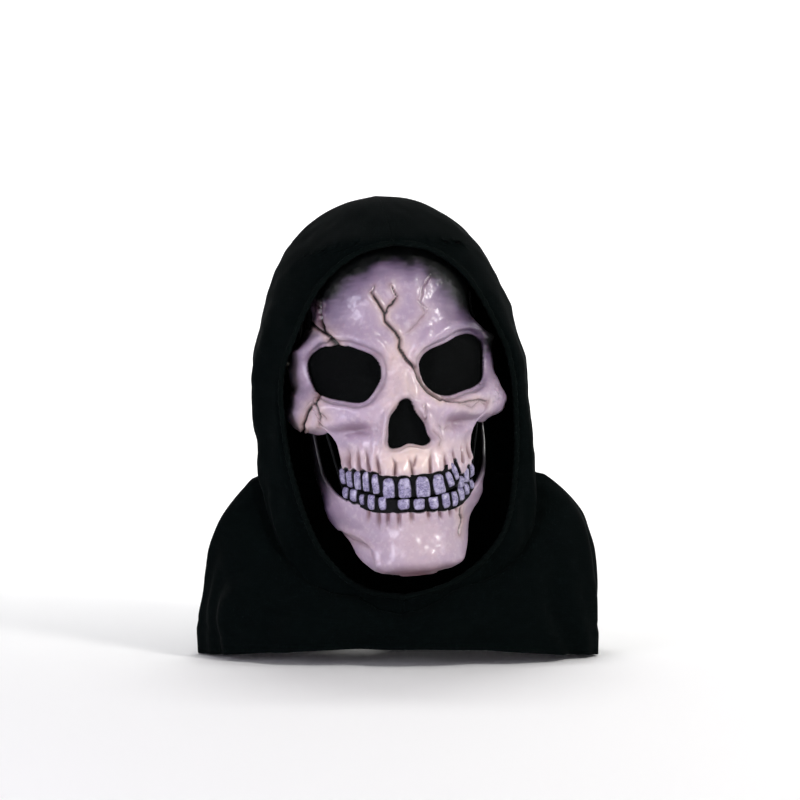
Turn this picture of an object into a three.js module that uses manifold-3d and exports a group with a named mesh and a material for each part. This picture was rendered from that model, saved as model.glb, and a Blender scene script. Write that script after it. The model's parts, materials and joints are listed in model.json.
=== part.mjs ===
// A hooded latex skull mask, worn over the head.
// Millimetres, +Z up, and the face looks along -Y. The origin is the middle of the wearer's head.
// The mask and its harness are drawn square to the head, then the head is turned and tilted as it is worn.
// The cloth follows the head at the top and hangs square on the shoulders at the hem.
import * as THREE from "three";
import { mergeVertices } from "three/addons/utils/BufferGeometryUtils.js";
import Module from "manifold-3d";

const wasm = await Module();
wasm.setup();

// Driving dimensions
const headTurn = THREE.MathUtils.degToRad(7); // towards the wearer's left
const headTilt = THREE.MathUtils.degToRad(-4.8); // the crown leans to the wearer's right
const latexWall = 3.5;
const clothWall = 2;
const gap = 0.4; // between pieces that touch
const capeShift = 7; // the shoulders stand a little to the side of the tilted head
const shoulderSlope = 0.062; // the wearer's left shoulder is the higher one

// Heights on the head
const crownTop = 175;
const maskTop = 138;
const gumLine = -70; // lower edge of the upper casting, at the middle
const biteLine = -86.6; // where the tooth rows meet, at the middle
const jawLine = -97.5; // upper edge of the jaw casting, at the middle
const archRise = 10; // how far the tooth rows climb towards the molars
const archEnd = 52; // section angle of the last molar, in degrees
const chinUnder = -151;
const neckSide = -80; // where the hood is sewn to the cape, at the side
const neckFront = -187; // and below the chin
const rightNeckLift = 18; // how much higher that seam is over the wearer's right shoulder
const openingTop = 123; // of the face opening, at the middle
const openingFoot = -169;
const hemFront = -212;
const hemDip = 15; // the hem hangs lower at the sides
const hemSize = { half: 178, front: 98, back: 138 };
const shoulderDrop = 0.25; // share of the cape's height from the neck seam to the point of the shoulder

// The jaw turns on studs inside the cheekbones.
const hinge = { y: -12, z: -2, pin: 3, flange: 8, wall: 86.4, ramus: 78 };

const colours = {
  bone: 0xd9c6c8,
  tooth: 0x8f8fb4,
  cloth: 0x0b100f,
  webbing: 0x16181a,
  foam: 0x3a3a3e,
  metal: 0x9a9a9a,
};

const finish = (colour, roughness, metalness = 0) =>
  new THREE.MeshStandardMaterial({ color: colour, roughness, metalness });
const boneLatex = finish(colours.bone, 0.45);
const toothLatex = finish(colours.tooth, 0.5);
const blackCloth = finish(colours.cloth, 0.95);
const blackMesh = finish(colours.cloth, 0.85);
const elastic = finish(colours.webbing, 0.8);
const foam = finish(colours.foam, 0.9);
const nickel = finish(colours.metal, 0.3, 1);

const { lerp, smoothstep, clamp, degToRad } = THREE.MathUtils;

// A smooth curve through [position, value] pairs.
function profile(pairs) {
  const spline = new THREE.CubicInterpolant(
    pairs.map((pair) => pair[0]),
    pairs.map((pair) => pair[1]),
    1,
  );
  return (at) => spline.evaluate(at)[0];
}

// A point on a rounded horizontal section: angle 0 is the front, 90 degrees the wearer's left side.
function sectionPoint(angle, height, size) {
  const power = 2 / (size.roundness ?? 2);
  const side = Math.sin(angle);
  const front = Math.cos(angle);
  const reach = front >= 0 ? size.front : size.back;
  return new THREE.Vector3(
    size.half * Math.sign(side) * Math.abs(side) ** power,
    -reach * Math.sign(front) * Math.abs(front) ** power,
    height,
  );
}

// The normal of a surface(u, v), on the side that faces away from the head.
function outward(surface, u, v) {
  const step = 0.004;
  const across = surface(Math.min(u + step, 1), v).sub(surface(Math.max(u - step, 0), v));
  const up = surface(u, Math.min(v + step, 1)).sub(surface(u, Math.max(v - step, 0)));
  return across.cross(up).normalize();
}

// The same surface, set in towards the head by a depth.
const inset = (surface, depth) => (u, v) =>
  surface(u, v).addScaledVector(outward(surface, u, v), -depth);

// A box bent into a shell, with its outer face on surface(u, v) and its wall inside it.
function bentSheet(surface, wall, columns, rows) {
  const geometry = new THREE.BoxGeometry(1, 1, 1, columns, rows, 1);
  const corners = geometry.attributes.position;
  for (let i = 0; i < corners.count; i++) {
    const u = corners.getX(i) + 0.5;
    const v = corners.getY(i) + 0.5;
    const place = surface(u, v);
    if (corners.getZ(i) < 0) {
      place.addScaledVector(outward(surface, u, v), -wall);
    }
    corners.setXYZ(i, place.x, place.y, place.z);
  }
  return geometry;
}

// Geometry to solid and back, for the cuts.
function solidOf(geometry) {
  const bare = geometry.index ? geometry.toNonIndexed() : geometry.clone();
  bare.deleteAttribute("normal");
  bare.deleteAttribute("uv");
  const merged = mergeVertices(bare, 1e-3);
  return new wasm.Manifold(
    new wasm.Mesh({
      numProp: 3,
      vertProperties: merged.attributes.position.array,
      triVerts: new Uint32Array(merged.index.array),
    }),
  );
}

function geometryOf(solid) {
  const mesh = solid.getMesh();
  const geometry = new THREE.BufferGeometry();
  geometry.setAttribute("position", new THREE.BufferAttribute(mesh.vertProperties, 3));
  geometry.setIndex(new THREE.BufferAttribute(mesh.triVerts, 1));
  return geometry;
}

const cut = (geometry, ...tools) =>
  geometryOf(tools.reduce((left, tool) => left.subtract(solidOf(tool)), solidOf(geometry)));

// A closed smooth outline as a shape, from points [across, up].
function smoothShape(points, divisions = 26) {
  const loop = new THREE.CatmullRomCurve3(
    points.map(([x, z]) => new THREE.Vector3(x, z, 0)),
    true,
    "centripetal",
  );
  return new THREE.Shape(loop.getPoints(divisions).map((p) => new THREE.Vector2(p.x, p.y)));
}

// A shape drawn from the front, pushed through from depth `near` to depth `far` in front of the origin.
function frontCutter(shape, near, far) {
  const geometry = new THREE.ExtrudeGeometry(shape, { depth: far - near, bevelEnabled: false });
  return geometry.rotateX(Math.PI / 2).translate(0, -near, 0);
}

// A shape drawn from the side as [y, z] points, across the whole width.
function sideBlock(shape, halfWidth) {
  const geometry = new THREE.ExtrudeGeometry(shape, { depth: 2 * halfWidth, bevelEnabled: false });
  const sideways = new THREE.Matrix4().makeBasis(
    new THREE.Vector3(0, 1, 0),
    new THREE.Vector3(0, 0, 1),
    new THREE.Vector3(1, 0, 0),
  );
  return geometry.applyMatrix4(sideways).translate(-halfWidth, 0, 0);
}

// ---- the face ----

const faceHalf = profile([
  [-75, 70], [-48, 71], [-30, 81], [-12, 91], [20, 87], [50, 82], [88, 74], [118, 60], [140, 42],
]);
const faceFront = profile([
  [-75, 104], [-40, 103], [-20, 101], [0, 99], [20, 96], [40, 101], [60, 101], [90, 95], [118, 80], [140, 56],
]);
// Soft forms raised from the plain section: each is mirrored across the middle.
const faceForms = [
  { x: 36, z: 52, wide: 26, tall: 9, high: 6 }, // brow
  { x: 0, z: 2, wide: 8, tall: 14, high: 8 }, // bridge of the nose
  { x: 74, z: -12, wide: 16, tall: 13, high: 9 }, // cheekbone
  { x: 74, z: 26, wide: 14, tall: 24, high: 7 }, // outer rim of the socket
  { x: 38, z: -38, wide: 14, tall: 12, high: -5 }, // hollow beside the nose
];

function faceSurface(degrees, height) {
  const place = sectionPoint(degToRad(degrees), height, {
    half: faceHalf(height),
    front: faceFront(height),
    back: faceFront(height),
    roundness: 2.4,
  });
  let high = 0;
  for (const form of faceForms) {
    const across = (Math.abs(place.x) - form.x) / form.wide;
    const up = (height - form.z) / form.tall;
    high += form.high * Math.exp(-across * across - up * up);
  }
  const flat = Math.hypot(place.x, place.y);
  place.x *= 1 + high / flat;
  place.y *= 1 + high / flat;
  return place;
}

// A height that climbs towards the molars, as the tooth rows do.
const alongArch = (middle, degrees) => middle + archRise * (degrees / archEnd) ** 2;

// A patch of the face between two section angles and two heights.
const facePatch = (from, to, low, high) => (u, v) =>
  faceSurface(lerp(from, to, u), lerp(low, high, v));

const eyeOutline = [
  [-75, 34], [-60, 44], [-40, 42], [-24, 35], [-17, 21], [-22, 4], [-38, -4], [-58, 1], [-71, 10],
];
const noseOutline = [
  [-3, -7], [3, -7], [12, -22], [18, -36], [15, -42], [0, -38], [-15, -42], [-18, -36], [-12, -22],
];

const mirrored = (points) => points.map(([x, z]) => [-x, z]).reverse();

function skullFace() {
  const sideEnd = 91;
  const surface = (u, v) => {
    const degrees = lerp(-sideEnd, sideEnd, u);
    const bottom = alongArch(gumLine, clamp(degrees, -archEnd, archEnd));
    return faceSurface(degrees, lerp(bottom, maskTop, v));
  };
  // Below the cheekbone only the front of the upper jaw is there.
  const underCheek = smoothShape([
    [-66, -80], [-66, -56], [-72, -38], [-60, -30], [-30, -27], [-6, -22], [30, -22], [40, -60],
    [20, -90], [-40, -90],
  ]);
  return cut(
    bentSheet(surface, latexWall, 28, 24),
    frontCutter(smoothShape(eyeOutline), 30, 130),
    frontCutter(smoothShape(mirrored(eyeOutline)), 30, 130),
    frontCutter(smoothShape(noseOutline), 60, 130),
    sideBlock(underCheek, 120),
    rivetRoom(strapRivet(-1)),
    rivetRoom(strapRivet(1)),
    rivetRoom(crownRivet()),
  );
}

// ---- the teeth ----

// A row of moulded teeth on its gum, with the outside rounded over each tooth.
function toothRow(top, bottom, count) {
  const width = (2 * archEnd) / count;
  const surface = (u, v) => {
    const degrees = lerp(-archEnd, archEnd, u);
    const along = (((degrees + archEnd) / width) % 1) - 0.5;
    const swell = 1.6 * Math.sqrt(Math.max(0, 1 - 3.6 * along * along));
    return sectionPoint(degToRad(degrees), alongArch(lerp(bottom, top, v), degrees), {
      half: 70 + swell,
      front: 107 + swell,
      roundness: 2.4,
    });
  };
  return bentSheet(surface, 6, count * 4, 2);
}

// ---- the jaw ----

const jawHalf = profile([
  [-151, 42], [-147, 48], [-140, 52], [-127, 53], [-110, 57], [-96, 64], [-85, 69], [-59, 75], [-33, 76],
  [0, 78], [12, 78],
]);
const jawFront = profile([
  [-151, 76], [-147, 99], [-140, 107], [-127, 110], [-110, 106], [-96, 107], [-60, 106], [12, 106],
]);
const jawSurface = (degrees, height) =>
  sectionPoint(degToRad(degrees), height, {
    half: jawHalf(height),
    front: jawFront(height),
    back: jawFront(height),
    roundness: 2.4,
  });

function lowerJaw() {
  const surface = (u, v) => jawSurface(lerp(-96, 96, u), lerp(chinUnder, 12, v));
  // The side view of a jaw: chin, tooth line, the branch that rises to the hinge, and the angle at its back.
  const side = smoothShape(
    [
      [-130, -156], [-130, -98], [-108, -97.6], [-84, -94], [-62, -86], [-46, -72], [-38, -44], [-30, -8],
      [-14, 9], [0, 6], [2, -20], [-4, -58], [-20, -86], [-48, -112], [-74, -136], [-92, -158],
    ],
    48,
  );
  const hingeHole = new THREE.CylinderGeometry(hinge.pin + gap, hinge.pin + gap, 240, 16)
    .rotateZ(Math.PI / 2)
    .translate(0, hinge.y, hinge.z);
  const branches = solidOf(bentSheet(surface, latexWall, 28, 20)).intersect(solidOf(sideBlock(side, 120)));
  return geometryOf(branches.subtract(solidOf(hingeHole)));
}

// A stud bonded inside the cheekbone: a flange and the pin that the jaw turns on. sideways is 1 or -1.
function jawStud(sideways) {
  const end = 16;
  const outline = [
    [0, 0], [hinge.flange, 0], [hinge.flange, 1.2], [hinge.pin, 1.2], [hinge.pin, end], [0, end],
  ].map(([radius, along]) => new THREE.Vector2(radius, along));
  return new THREE.LatheGeometry(outline, 20)
    .rotateZ(sideways * (Math.PI / 2))
    .translate(sideways * hinge.wall, hinge.y, hinge.z);
}

// The cap pressed on the end of the stud, inside the jaw.
function studCap(sideways) {
  const outer = hinge.ramus - latexWall - 1;
  const ring = [
    [hinge.pin + 0.3, 0], [7, 0], [7, 1.6], [hinge.pin + 0.3, 1.6], [hinge.pin + 0.3, 0],
  ].map(([radius, along]) => new THREE.Vector2(radius, along));
  return new THREE.LatheGeometry(ring, 20)
    .rotateZ(sideways * (Math.PI / 2))
    .translate(sideways * outer, hinge.y, hinge.z);
}

// ---- pads and see-through panels ----

const bonded = (surface, clear = 2 * gap) => inset(surface, latexWall + clear);

// A foam block moulded to the forehead, with a flat face for the wearer's brow.
function browPad() {
  const flatFace = -82;
  const front = bonded(facePatch(-15, 15, 62, 88));
  const geometry = new THREE.BoxGeometry(1, 1, 1, 6, 3, 1);
  const corners = geometry.attributes.position;
  for (let i = 0; i < corners.count; i++) {
    const place = front(corners.getX(i) + 0.5, corners.getY(i) + 0.5);
    if (corners.getZ(i) < 0) {
      place.y = flatFace;
    }
    corners.setXYZ(i, place.x, place.y, place.z);
  }
  return geometry;
}

const eyePanel = (sideways) =>
  bentSheet(bonded(facePatch(sideways > 0 ? 7 : -64, sideways > 0 ? 64 : -7, -9, 50), 1.6), 1, 9, 6);
const nosePanel = () => bentSheet(bonded(facePatch(-14, 14, -48, -14)), 1, 6, 5);
const cheekPad = (sideways) =>
  bentSheet(bonded(facePatch(sideways > 0 ? 56 : -74, sideways > 0 ? 74 : -56, 58, 84)), 9, 4, 3);
const chinPad = () =>
  bentSheet(
    bonded((u, v) => jawSurface(lerp(-30, 30, u), lerp(-140, -112, v))),
    9,
    8,
    4,
  );

// ---- the harness ----

const strapWidth = 25;
const strapMiddle = 34;
const strapPath = (degrees, height) =>
  sectionPoint(degToRad(degrees), height, { half: 81.4, front: 98, back: 98 });
const sideStrap = (sideways) => (u, v) =>
  strapPath(
    sideways > 0 ? lerp(84, 171, u) : lerp(-171, -84, u),
    strapMiddle + strapWidth * (v - 0.5),
  );
const crownLine = new THREE.SplineCurve(
  [[-62, 126], [-50, 138], [-20, 151], [22, 152], [62, 132], [88, 96], [97, 60]].map(
    ([y, z]) => new THREE.Vector2(y, z),
  ),
);
const crownStrap = (u, v) => {
  const place = crownLine.getPoint(v);
  return new THREE.Vector3(strapWidth * (u - 0.5), place.x, place.y);
};
const backPatch = (u, v) =>
  strapPath(lerp(163, 197, u), lerp(strapMiddle - 18, strapMiddle + 36, v)).multiply(
    new THREE.Vector3(1.03, 1.03, 1),
  );

// A flat elastic from the cheek to the jaw, that draws the mouth shut again.
const jawBand = (sideways) => (u, v) =>
  new THREE.Vector3(sideways * lerp(50, 65, v), -52 + sideways * 10 * (u - 0.5), lerp(-96, -24, v));

// A rivet through a strap and the latex outside it: head, shank and the washer that it is peened over.
function rivetOn(surface, u, v, outside) {
  const inside = -2.6;
  const outline = [
    [0, inside - 1], [4.4, inside - 1], [4.4, inside], [2, inside], [2, outside], [5, outside],
    [4, outside + 1.4], [0, outside + 1.6],
  ].map(([radius, along]) => new THREE.Vector2(radius, along));
  const turn = new THREE.Quaternion().setFromUnitVectors(
    new THREE.Vector3(0, 1, 0),
    outward(surface, u, v),
  );
  const place = surface(u, v);
  return new THREE.LatheGeometry(outline, 14)
    .applyQuaternion(turn)
    .translate(place.x, place.y, place.z);
}
const strapRivet = (sideways) =>
  rivetOn(sideStrap(sideways), sideways > 0 ? 0.06 : 0.94, 0.5, 8);
const crownRivet = () => rivetOn(crownStrap, 0.5, 0.06, 9);

// The same rivet a little larger, to cut its own way with.
function rivetRoom(rivet) {
  const box = new THREE.Box3().setFromBufferAttribute(rivet.attributes.position);
  const middle = box.getCenter(new THREE.Vector3());
  return rivet
    .translate(-middle.x, -middle.y, -middle.z)
    .scale(1.16, 1.16, 1.16)
    .translate(middle.x, middle.y, middle.z);
}

// ---- the hood and the cape ----

const hoodHalf = profile([
  [-190, 117], [-120, 120], [-75, 121], [-30, 121], [10, 121.5], [50, 116], [92, 104], [120, 91], [143, 73],
  [160, 51], [170, 28], [175, 5],
]);
const hoodFront = profile([
  [-190, 75], [-140, 80], [-80, 84], [0, 84], [50, 88], [92, 94], [122, 93], [143, 75],
  [160, 50], [170, 25], [175, 5],
]);
const hoodBack = profile([
  [-190, 112], [-80, 116], [-20, 124], [40, 132], [92, 126], [122, 108], [143, 86],
  [160, 58], [170, 31], [175, 5],
]);
// Half the width of the face opening.
const openingHalf = profile([
  [-169, 14], [-164, 30], [-148, 58], [-120, 81], [-80, 93], [-40, 99], [0, 100.5], [28, 97],
  [50, 88], [90, 66],
  [114, 36], [123, 8],
]);
const rowHeight = profile([[0, 0], [0.45, 0.38], [0.7, 0.69], [0.833, 0.863], [0.93, 0.957], [1, 1]]);

// Turns cloth with the head at the top, and leaves it square on the shoulders.
// atNeck is 1 up to the neck and 0 at the hem.
function worn(place, atNeck = 1) {
  const share = smoothstep(place.z, -205, -110);
  place.z += shoulderSlope * place.x * (1 - share) * atNeck;
  place.applyEuler(new THREE.Euler(0, headTilt * share, headTurn * share, "YZX"));
  place.x += capeShift * (1 - share);
  return place;
}

function wear(geometry) {
  const corners = geometry.attributes.position;
  const place = new THREE.Vector3();
  for (let i = 0; i < corners.count; i++) {
    worn(place.fromBufferAttribute(corners, i));
    corners.setXYZ(i, place.x, place.y, place.z);
  }
  return geometry;
}

// The hood before it is worn. u runs from the face opening to the back seam, v from the neck to the crown.
function hoodPlace(u, v, sideways = 1) {
  const side = sideways < 0 ? neckSide + rightNeckLift * Math.sin(Math.PI * u) ** 2 : neckSide;
  const bottom = lerp(neckFront, side, smoothstep(u, 0, 0.42));
  const height = lerp(bottom, crownTop, rowHeight(v));
  const half = hoodHalf(height);
  const isOpen = height < openingTop && height > openingFoot;
  const open = isOpen ? openingHalf(height) : 0;
  const seam = 0.6 / half;
  const from = Math.max(Math.asin(clamp(open / half, 0, 1)), seam);
  const angle = lerp(seam, Math.PI - seam, u) + (from - seam) * (1 - u) ** 2;
  return sectionPoint(angle, height, { half, front: hoodFront(height), back: hoodBack(height) });
}

const across = (sideways, place) => {
  place.x *= sideways;
  return place;
};
// One half of the hood. Both are cut from one pattern, turned over; the right one is shorter at the shoulder.
function hoodHalfCloth(sideways) {
  const geometry = bentSheet((u, v) => across(-1, hoodPlace((1 - u) ** 1.3, v, sideways)), clothWall, 14, 18);
  if (sideways > 0) {
    geometry.scale(-1, 1, 1);
    const faces = geometry.index.array;
    for (let i = 0; i < faces.length; i += 3) {
      [faces[i + 1], faces[i + 2]] = [faces[i + 2], faces[i + 1]];
    }
  }
  return wear(geometry);
}

// The cape falls from the neck seam, out over the shoulders and down to the hem. down is 1 at the neck.
function capePlace(u, down, sideways) {
  const neck = hoodPlace(u, 0, sideways);
  const depth = neck.y > 0 ? hoodBack(neck.z) : hoodFront(neck.z);
  const angle = Math.atan2(neck.x / hoodHalf(neck.z), -neck.y / depth);
  const hem = sectionPoint(angle, hemFront - hemDip * Math.sin(angle) ** 2, hemSize);
  neck.z -= 1.6;
  const corner = hem.clone().setZ(lerp(neck.z, hem.z, shoulderDrop));
  const sharp = 0.72 + 0.18 * Math.sin(angle) ** 4; // the point of the shoulder is sharper than the back
  const shoulder = neck.clone().lerp(corner, sharp);
  const upperArm = hem.clone().lerp(corner, sharp);
  return new THREE.CubicBezierCurve3(hem, upperArm, shoulder, neck).getPoint(down);
}
const sideSeam = 0.46; // the hood's own u at the shoulder
const capeFront = (u, v) => {
  const s = 2 * u - 1;
  const sideways = Math.sign(s) || 1;
  const place = across(sideways, capePlace(Math.abs(s) * sideSeam, v, sideways));
  return worn(place, v * (2 - v));
};
const capeBack = (u, v) => {
  const s = 1 - 2 * u;
  const sideways = Math.sign(s) || 1;
  const place = across(sideways, capePlace(lerp(1, sideSeam + 0.006, Math.abs(s)), v, sideways));
  return worn(place, v * (2 - v));
};

// The elastic casing along one side of the face opening, a little clear of the cloth edge.
function faceBinding(sideways) {
  const points = [];
  for (let i = 0; i <= 24; i++) {
    const v = lerp(0.1, 0.79, i / 24);
    const along = hoodPlace(0, v + 0.004).sub(hoodPlace(0, v - 0.004)).normalize();
    const out = outward(hoodPlace, 0.004, v);
    const clear = along.cross(out).normalize();
    if (clear.dot(hoodPlace(0.01, v).sub(hoodPlace(0, v))) > 0) {
      clear.negate();
    }
    const place = hoodPlace(0, v).addScaledVector(clear, 4.3).addScaledVector(out, -clothWall / 2);
    points.push(worn(across(sideways, place)));
  }
  const round = new THREE.Shape().absarc(0, 0, 2.2, 0, 2 * Math.PI);
  return new THREE.ExtrudeGeometry(round, {
    steps: 36,
    curveSegments: 4,
    extrudePath: new THREE.CatmullRomCurve3(points),
    bevelEnabled: false,
  });
}

// Hook-and-loop tabs that hold the hood on the latex.
const tabOn = (from, to, low, high) => bentSheet(inset(facePatch(from, to, low, high), -3), 2.6, 4, 2);

// ---- the assembly ----

function add(group, name, geometry, material) {
  const mesh = new THREE.Mesh(geometry, material);
  mesh.name = name;
  group.add(mesh);
}

const mask = new THREE.Group();
mask.rotation.set(0, headTilt, headTurn, "YZX");
add(mask, "skull_face", skullFace(), boneLatex);
add(mask, "upper_teeth", toothRow(gumLine - 4 * gap, biteLine + gap, 14), toothLatex);
add(mask, "nose_mesh", nosePanel(), blackMesh);
add(mask, "brow_pad", browPad(), foam);
add(mask, "crown_strap", cut(bentSheet(crownStrap, 1.6, 2, 18), rivetRoom(crownRivet())), elastic);
add(mask, "crown_rivet", crownRivet(), nickel);
add(mask, "back_patch", bentSheet(backPatch, 1.6, 6, 4), elastic);

const jaw = new THREE.Group();
add(jaw, "lower_jaw", lowerJaw(), boneLatex);
add(jaw, "lower_teeth", toothRow(biteLine - gap, jawLine + 2 * gap, 12), toothLatex);
add(jaw, "chin_pad", chinPad(), foam);
mask.add(jaw);

const cloth = new THREE.Group();
add(cloth, "cape_front", bentSheet(capeFront, clothWall, 20, 6), blackCloth);
add(cloth, "cape_back", bentSheet(capeBack, clothWall, 20, 6), blackCloth);

for (const [name, sideways] of [["right", -1], ["left", 1]]) {
  const strap = cut(
    bentSheet(sideStrap(sideways), 1.6, 14, 1),
    rivetRoom(strapRivet(sideways)),
  );
  add(mask, `eye_mesh_${name}`, eyePanel(sideways), blackMesh);
  add(mask, `temple_pad_${name}`, cheekPad(sideways), foam);
  add(mask, `side_strap_${name}`, strap, elastic);
  add(mask, `strap_rivet_${name}`, strapRivet(sideways), nickel);
  add(mask, `jaw_band_${name}`, bentSheet(jawBand(sideways), 1.2, 1, 6), elastic);
  add(mask, `jaw_stud_${name}`, jawStud(sideways), nickel);
  add(mask, `stud_cap_${name}`, studCap(sideways), nickel);
  add(mask, `hood_tab_${name}`, tabOn(sideways * 73 - 5, sideways * 73 + 5, 60, 84), elastic);
  add(mask, `crown_tab_${name}`, tabOn(sideways * 20 - 8, sideways * 20 + 8, 124, 135), elastic);
  add(cloth, `hood_${name}`, hoodHalfCloth(sideways), blackCloth);
  add(cloth, `face_binding_${name}`, faceBinding(sideways), blackCloth);
}

const wornMask = new THREE.Group();
wornMask.add(mask, cloth);

export default wornMask;
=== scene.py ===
import json
import math

import bmesh
import bpy
import numpy as np
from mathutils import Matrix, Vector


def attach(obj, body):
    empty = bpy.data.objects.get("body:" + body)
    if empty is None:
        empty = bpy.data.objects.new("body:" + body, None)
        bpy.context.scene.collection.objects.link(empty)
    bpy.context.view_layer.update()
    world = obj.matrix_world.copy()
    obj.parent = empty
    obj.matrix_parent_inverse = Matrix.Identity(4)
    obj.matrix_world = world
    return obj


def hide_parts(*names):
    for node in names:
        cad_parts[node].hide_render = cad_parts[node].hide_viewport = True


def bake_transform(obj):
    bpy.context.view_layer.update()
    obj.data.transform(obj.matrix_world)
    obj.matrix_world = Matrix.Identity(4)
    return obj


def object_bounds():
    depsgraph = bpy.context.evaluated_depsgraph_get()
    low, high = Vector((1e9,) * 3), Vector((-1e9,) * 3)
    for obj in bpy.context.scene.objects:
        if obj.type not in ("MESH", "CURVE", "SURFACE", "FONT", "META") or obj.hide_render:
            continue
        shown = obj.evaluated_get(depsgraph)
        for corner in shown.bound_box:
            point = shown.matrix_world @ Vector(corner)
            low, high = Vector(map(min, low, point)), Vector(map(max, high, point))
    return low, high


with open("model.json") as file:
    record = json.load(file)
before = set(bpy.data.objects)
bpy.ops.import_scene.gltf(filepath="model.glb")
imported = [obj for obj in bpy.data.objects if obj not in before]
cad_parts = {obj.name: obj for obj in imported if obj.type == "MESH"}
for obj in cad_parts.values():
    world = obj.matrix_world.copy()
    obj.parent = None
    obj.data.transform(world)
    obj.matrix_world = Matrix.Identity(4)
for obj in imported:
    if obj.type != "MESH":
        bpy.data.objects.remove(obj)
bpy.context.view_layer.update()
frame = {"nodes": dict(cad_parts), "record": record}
mm = 0.001

# Shapes are drawn in millimetres, square to the wearer's head: x to the wearer's left, y to the back, z up.
headPose = {"turn": 7.0, "tilt": -4.8}  # degrees, as the head is worn


def headToWorld(points, share=1.0):
    turn = np.radians(headPose["turn"]) * share
    tilt = np.radians(headPose["tilt"]) * share
    x, y, z = points[..., 0], points[..., 1], points[..., 2]
    turnedX = x * np.cos(turn) - y * np.sin(turn)
    turnedY = x * np.sin(turn) + y * np.cos(turn)
    return np.stack((turnedX * np.cos(tilt) + z * np.sin(tilt), turnedY,
                     z * np.cos(tilt) - turnedX * np.sin(tilt)), axis=-1)


def smoothCurve(pairs):  # a curve through (place, value) pairs that never overshoots them
    places, values = np.array(pairs, float).T
    steps, rises = np.diff(places), np.diff(values)
    slopes = rises / steps
    tangents = np.concatenate((slopes[:1], np.zeros(len(slopes) - 1), slopes[-1:]))
    same = slopes[:-1] * slopes[1:] > 0
    safe = np.where(same, slopes[:-1] + slopes[1:], 1)
    tangents[1:-1] = np.where(same, 2 * slopes[:-1] * slopes[1:] / safe, 0)

    def at(place):
        spot = np.clip(place, places[0], places[-1])
        i = np.clip(np.searchsorted(places, spot, side="right") - 1, 0, len(steps) - 1)
        t = (spot - places[i]) / steps[i]
        return (values[i] + t * steps[i] * tangents[i]
                + t * t * (3 * rises[i] - steps[i] * (2 * tangents[i] + tangents[i + 1]))
                + t ** 3 * (steps[i] * (tangents[i] + tangents[i + 1]) - 2 * rises[i]))
    return at


def smoothStep(x, low, high):
    t = np.clip((x - low) / (high - low), 0, 1)
    return t * t * (3 - 2 * t)


def smoothLine(points, count, closed=False):  # a rounded line through the points
    p = np.array(points, float)
    if closed:
        p = np.concatenate((p[-1:], p, p[:2]))
    else:
        p = np.concatenate((2 * p[:1] - p[1:2], p, 2 * p[-1:] - p[-2:-1]))
    spans = len(p) - 3
    u = np.linspace(0, spans, count, endpoint=not closed)
    i = np.minimum(u.astype(int), spans - 1)
    t = (u - i)[:, None]
    a, b, c, d = p[i], p[i + 1], p[i + 2], p[i + 3]
    return 0.5 * (2 * b + (c - a) * t + (2 * a - 5 * b + 4 * c - d) * t ** 2 + (3 * b - a - 3 * c + d)
                  * t ** 3)


def distanceTo(x, z, line, closed=False):  # nearest distance to a line, and how far along it
    line = np.asarray(line, float)
    ends = np.roll(line, -1, axis=0) if closed else line[1:]
    starts = line if closed else line[:-1]
    best = np.full(x.shape, 1e6)
    along = np.zeros(x.shape)
    for k, ((x0, z0), (x1, z1)) in enumerate(zip(starts, ends)):
        dx, dz = x1 - x0, z1 - z0
        t = np.clip(((x - x0) * dx + (z - z0) * dz) / (dx * dx + dz * dz + 1e-9), 0, 1)
        d = np.hypot(x - x0 - t * dx, z - z0 - t * dz)
        nearer = d < best
        best = np.where(nearer, d, best)
        along = np.where(nearer, (k + t) / len(starts), along)
    return best, along


def outside(x, z, loop):  # distance outside a closed outline, negative inside it
    d, _ = distanceTo(x, z, loop, closed=True)
    inside = np.zeros(x.shape, bool)
    for (x0, z0), (x1, z1) in zip(loop, np.roll(loop, -1, axis=0)):
        if z0 != z1:
            crosses = ((z0 > z) != (z1 > z)) & (x < (x1 - x0) * (z - z0) / (z1 - z0) + x0)
            inside ^= crosses
    return np.where(inside, -d, d)


def unevenness(x, z, size, seed):  # soft random lumps between -1 and 1, `size` across
    lattice = np.random.default_rng(seed).uniform(-1, 1, (97, 97))
    u, v = np.abs(x / size + 31.7), np.abs(z / size + 47.3)
    i, j = u.astype(int), v.astype(int)
    s, t = u - i, v - j
    s, t = s * s * (3 - 2 * s), t * t * (3 - 2 * t)
    i, j = i % 96, j % 96
    top = lattice[i, j] * (1 - s) + lattice[i + 1, j] * s
    low = lattice[i, j + 1] * (1 - s) + lattice[i + 1, j + 1] * s
    return top * (1 - t) + low * t


def section(angle, half, front, back, power):  # a rounded horizontal section, angle 0 at the front
    sine, cosine = np.sin(angle), np.cos(angle)
    reach = np.where(cosine >= 0, front, back)
    return (half * np.sign(sine) * np.abs(sine) ** power,
            -reach * np.sign(cosine) * np.abs(cosine) ** power)


def gridNormals(points):
    across = np.gradient(points, axis=1)
    up = np.gradient(points, axis=0)
    normal = np.cross(across, up)
    return normal / (np.linalg.norm(normal, axis=-1, keepdims=True) + 1e-12)


def smoothed(values, times):  # evens out a grid of values
    for _ in range(times):
        padded = np.pad(values, [(1, 1), (1, 1)] + [(0, 0)] * (values.ndim - 2), mode="edge")
        values = (padded[:-2, 1:-1] + padded[2:, 1:-1] + padded[1:-1, :-2] + padded[1:-1, 2:] + 2
                  * values) / 6
    return values


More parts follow.
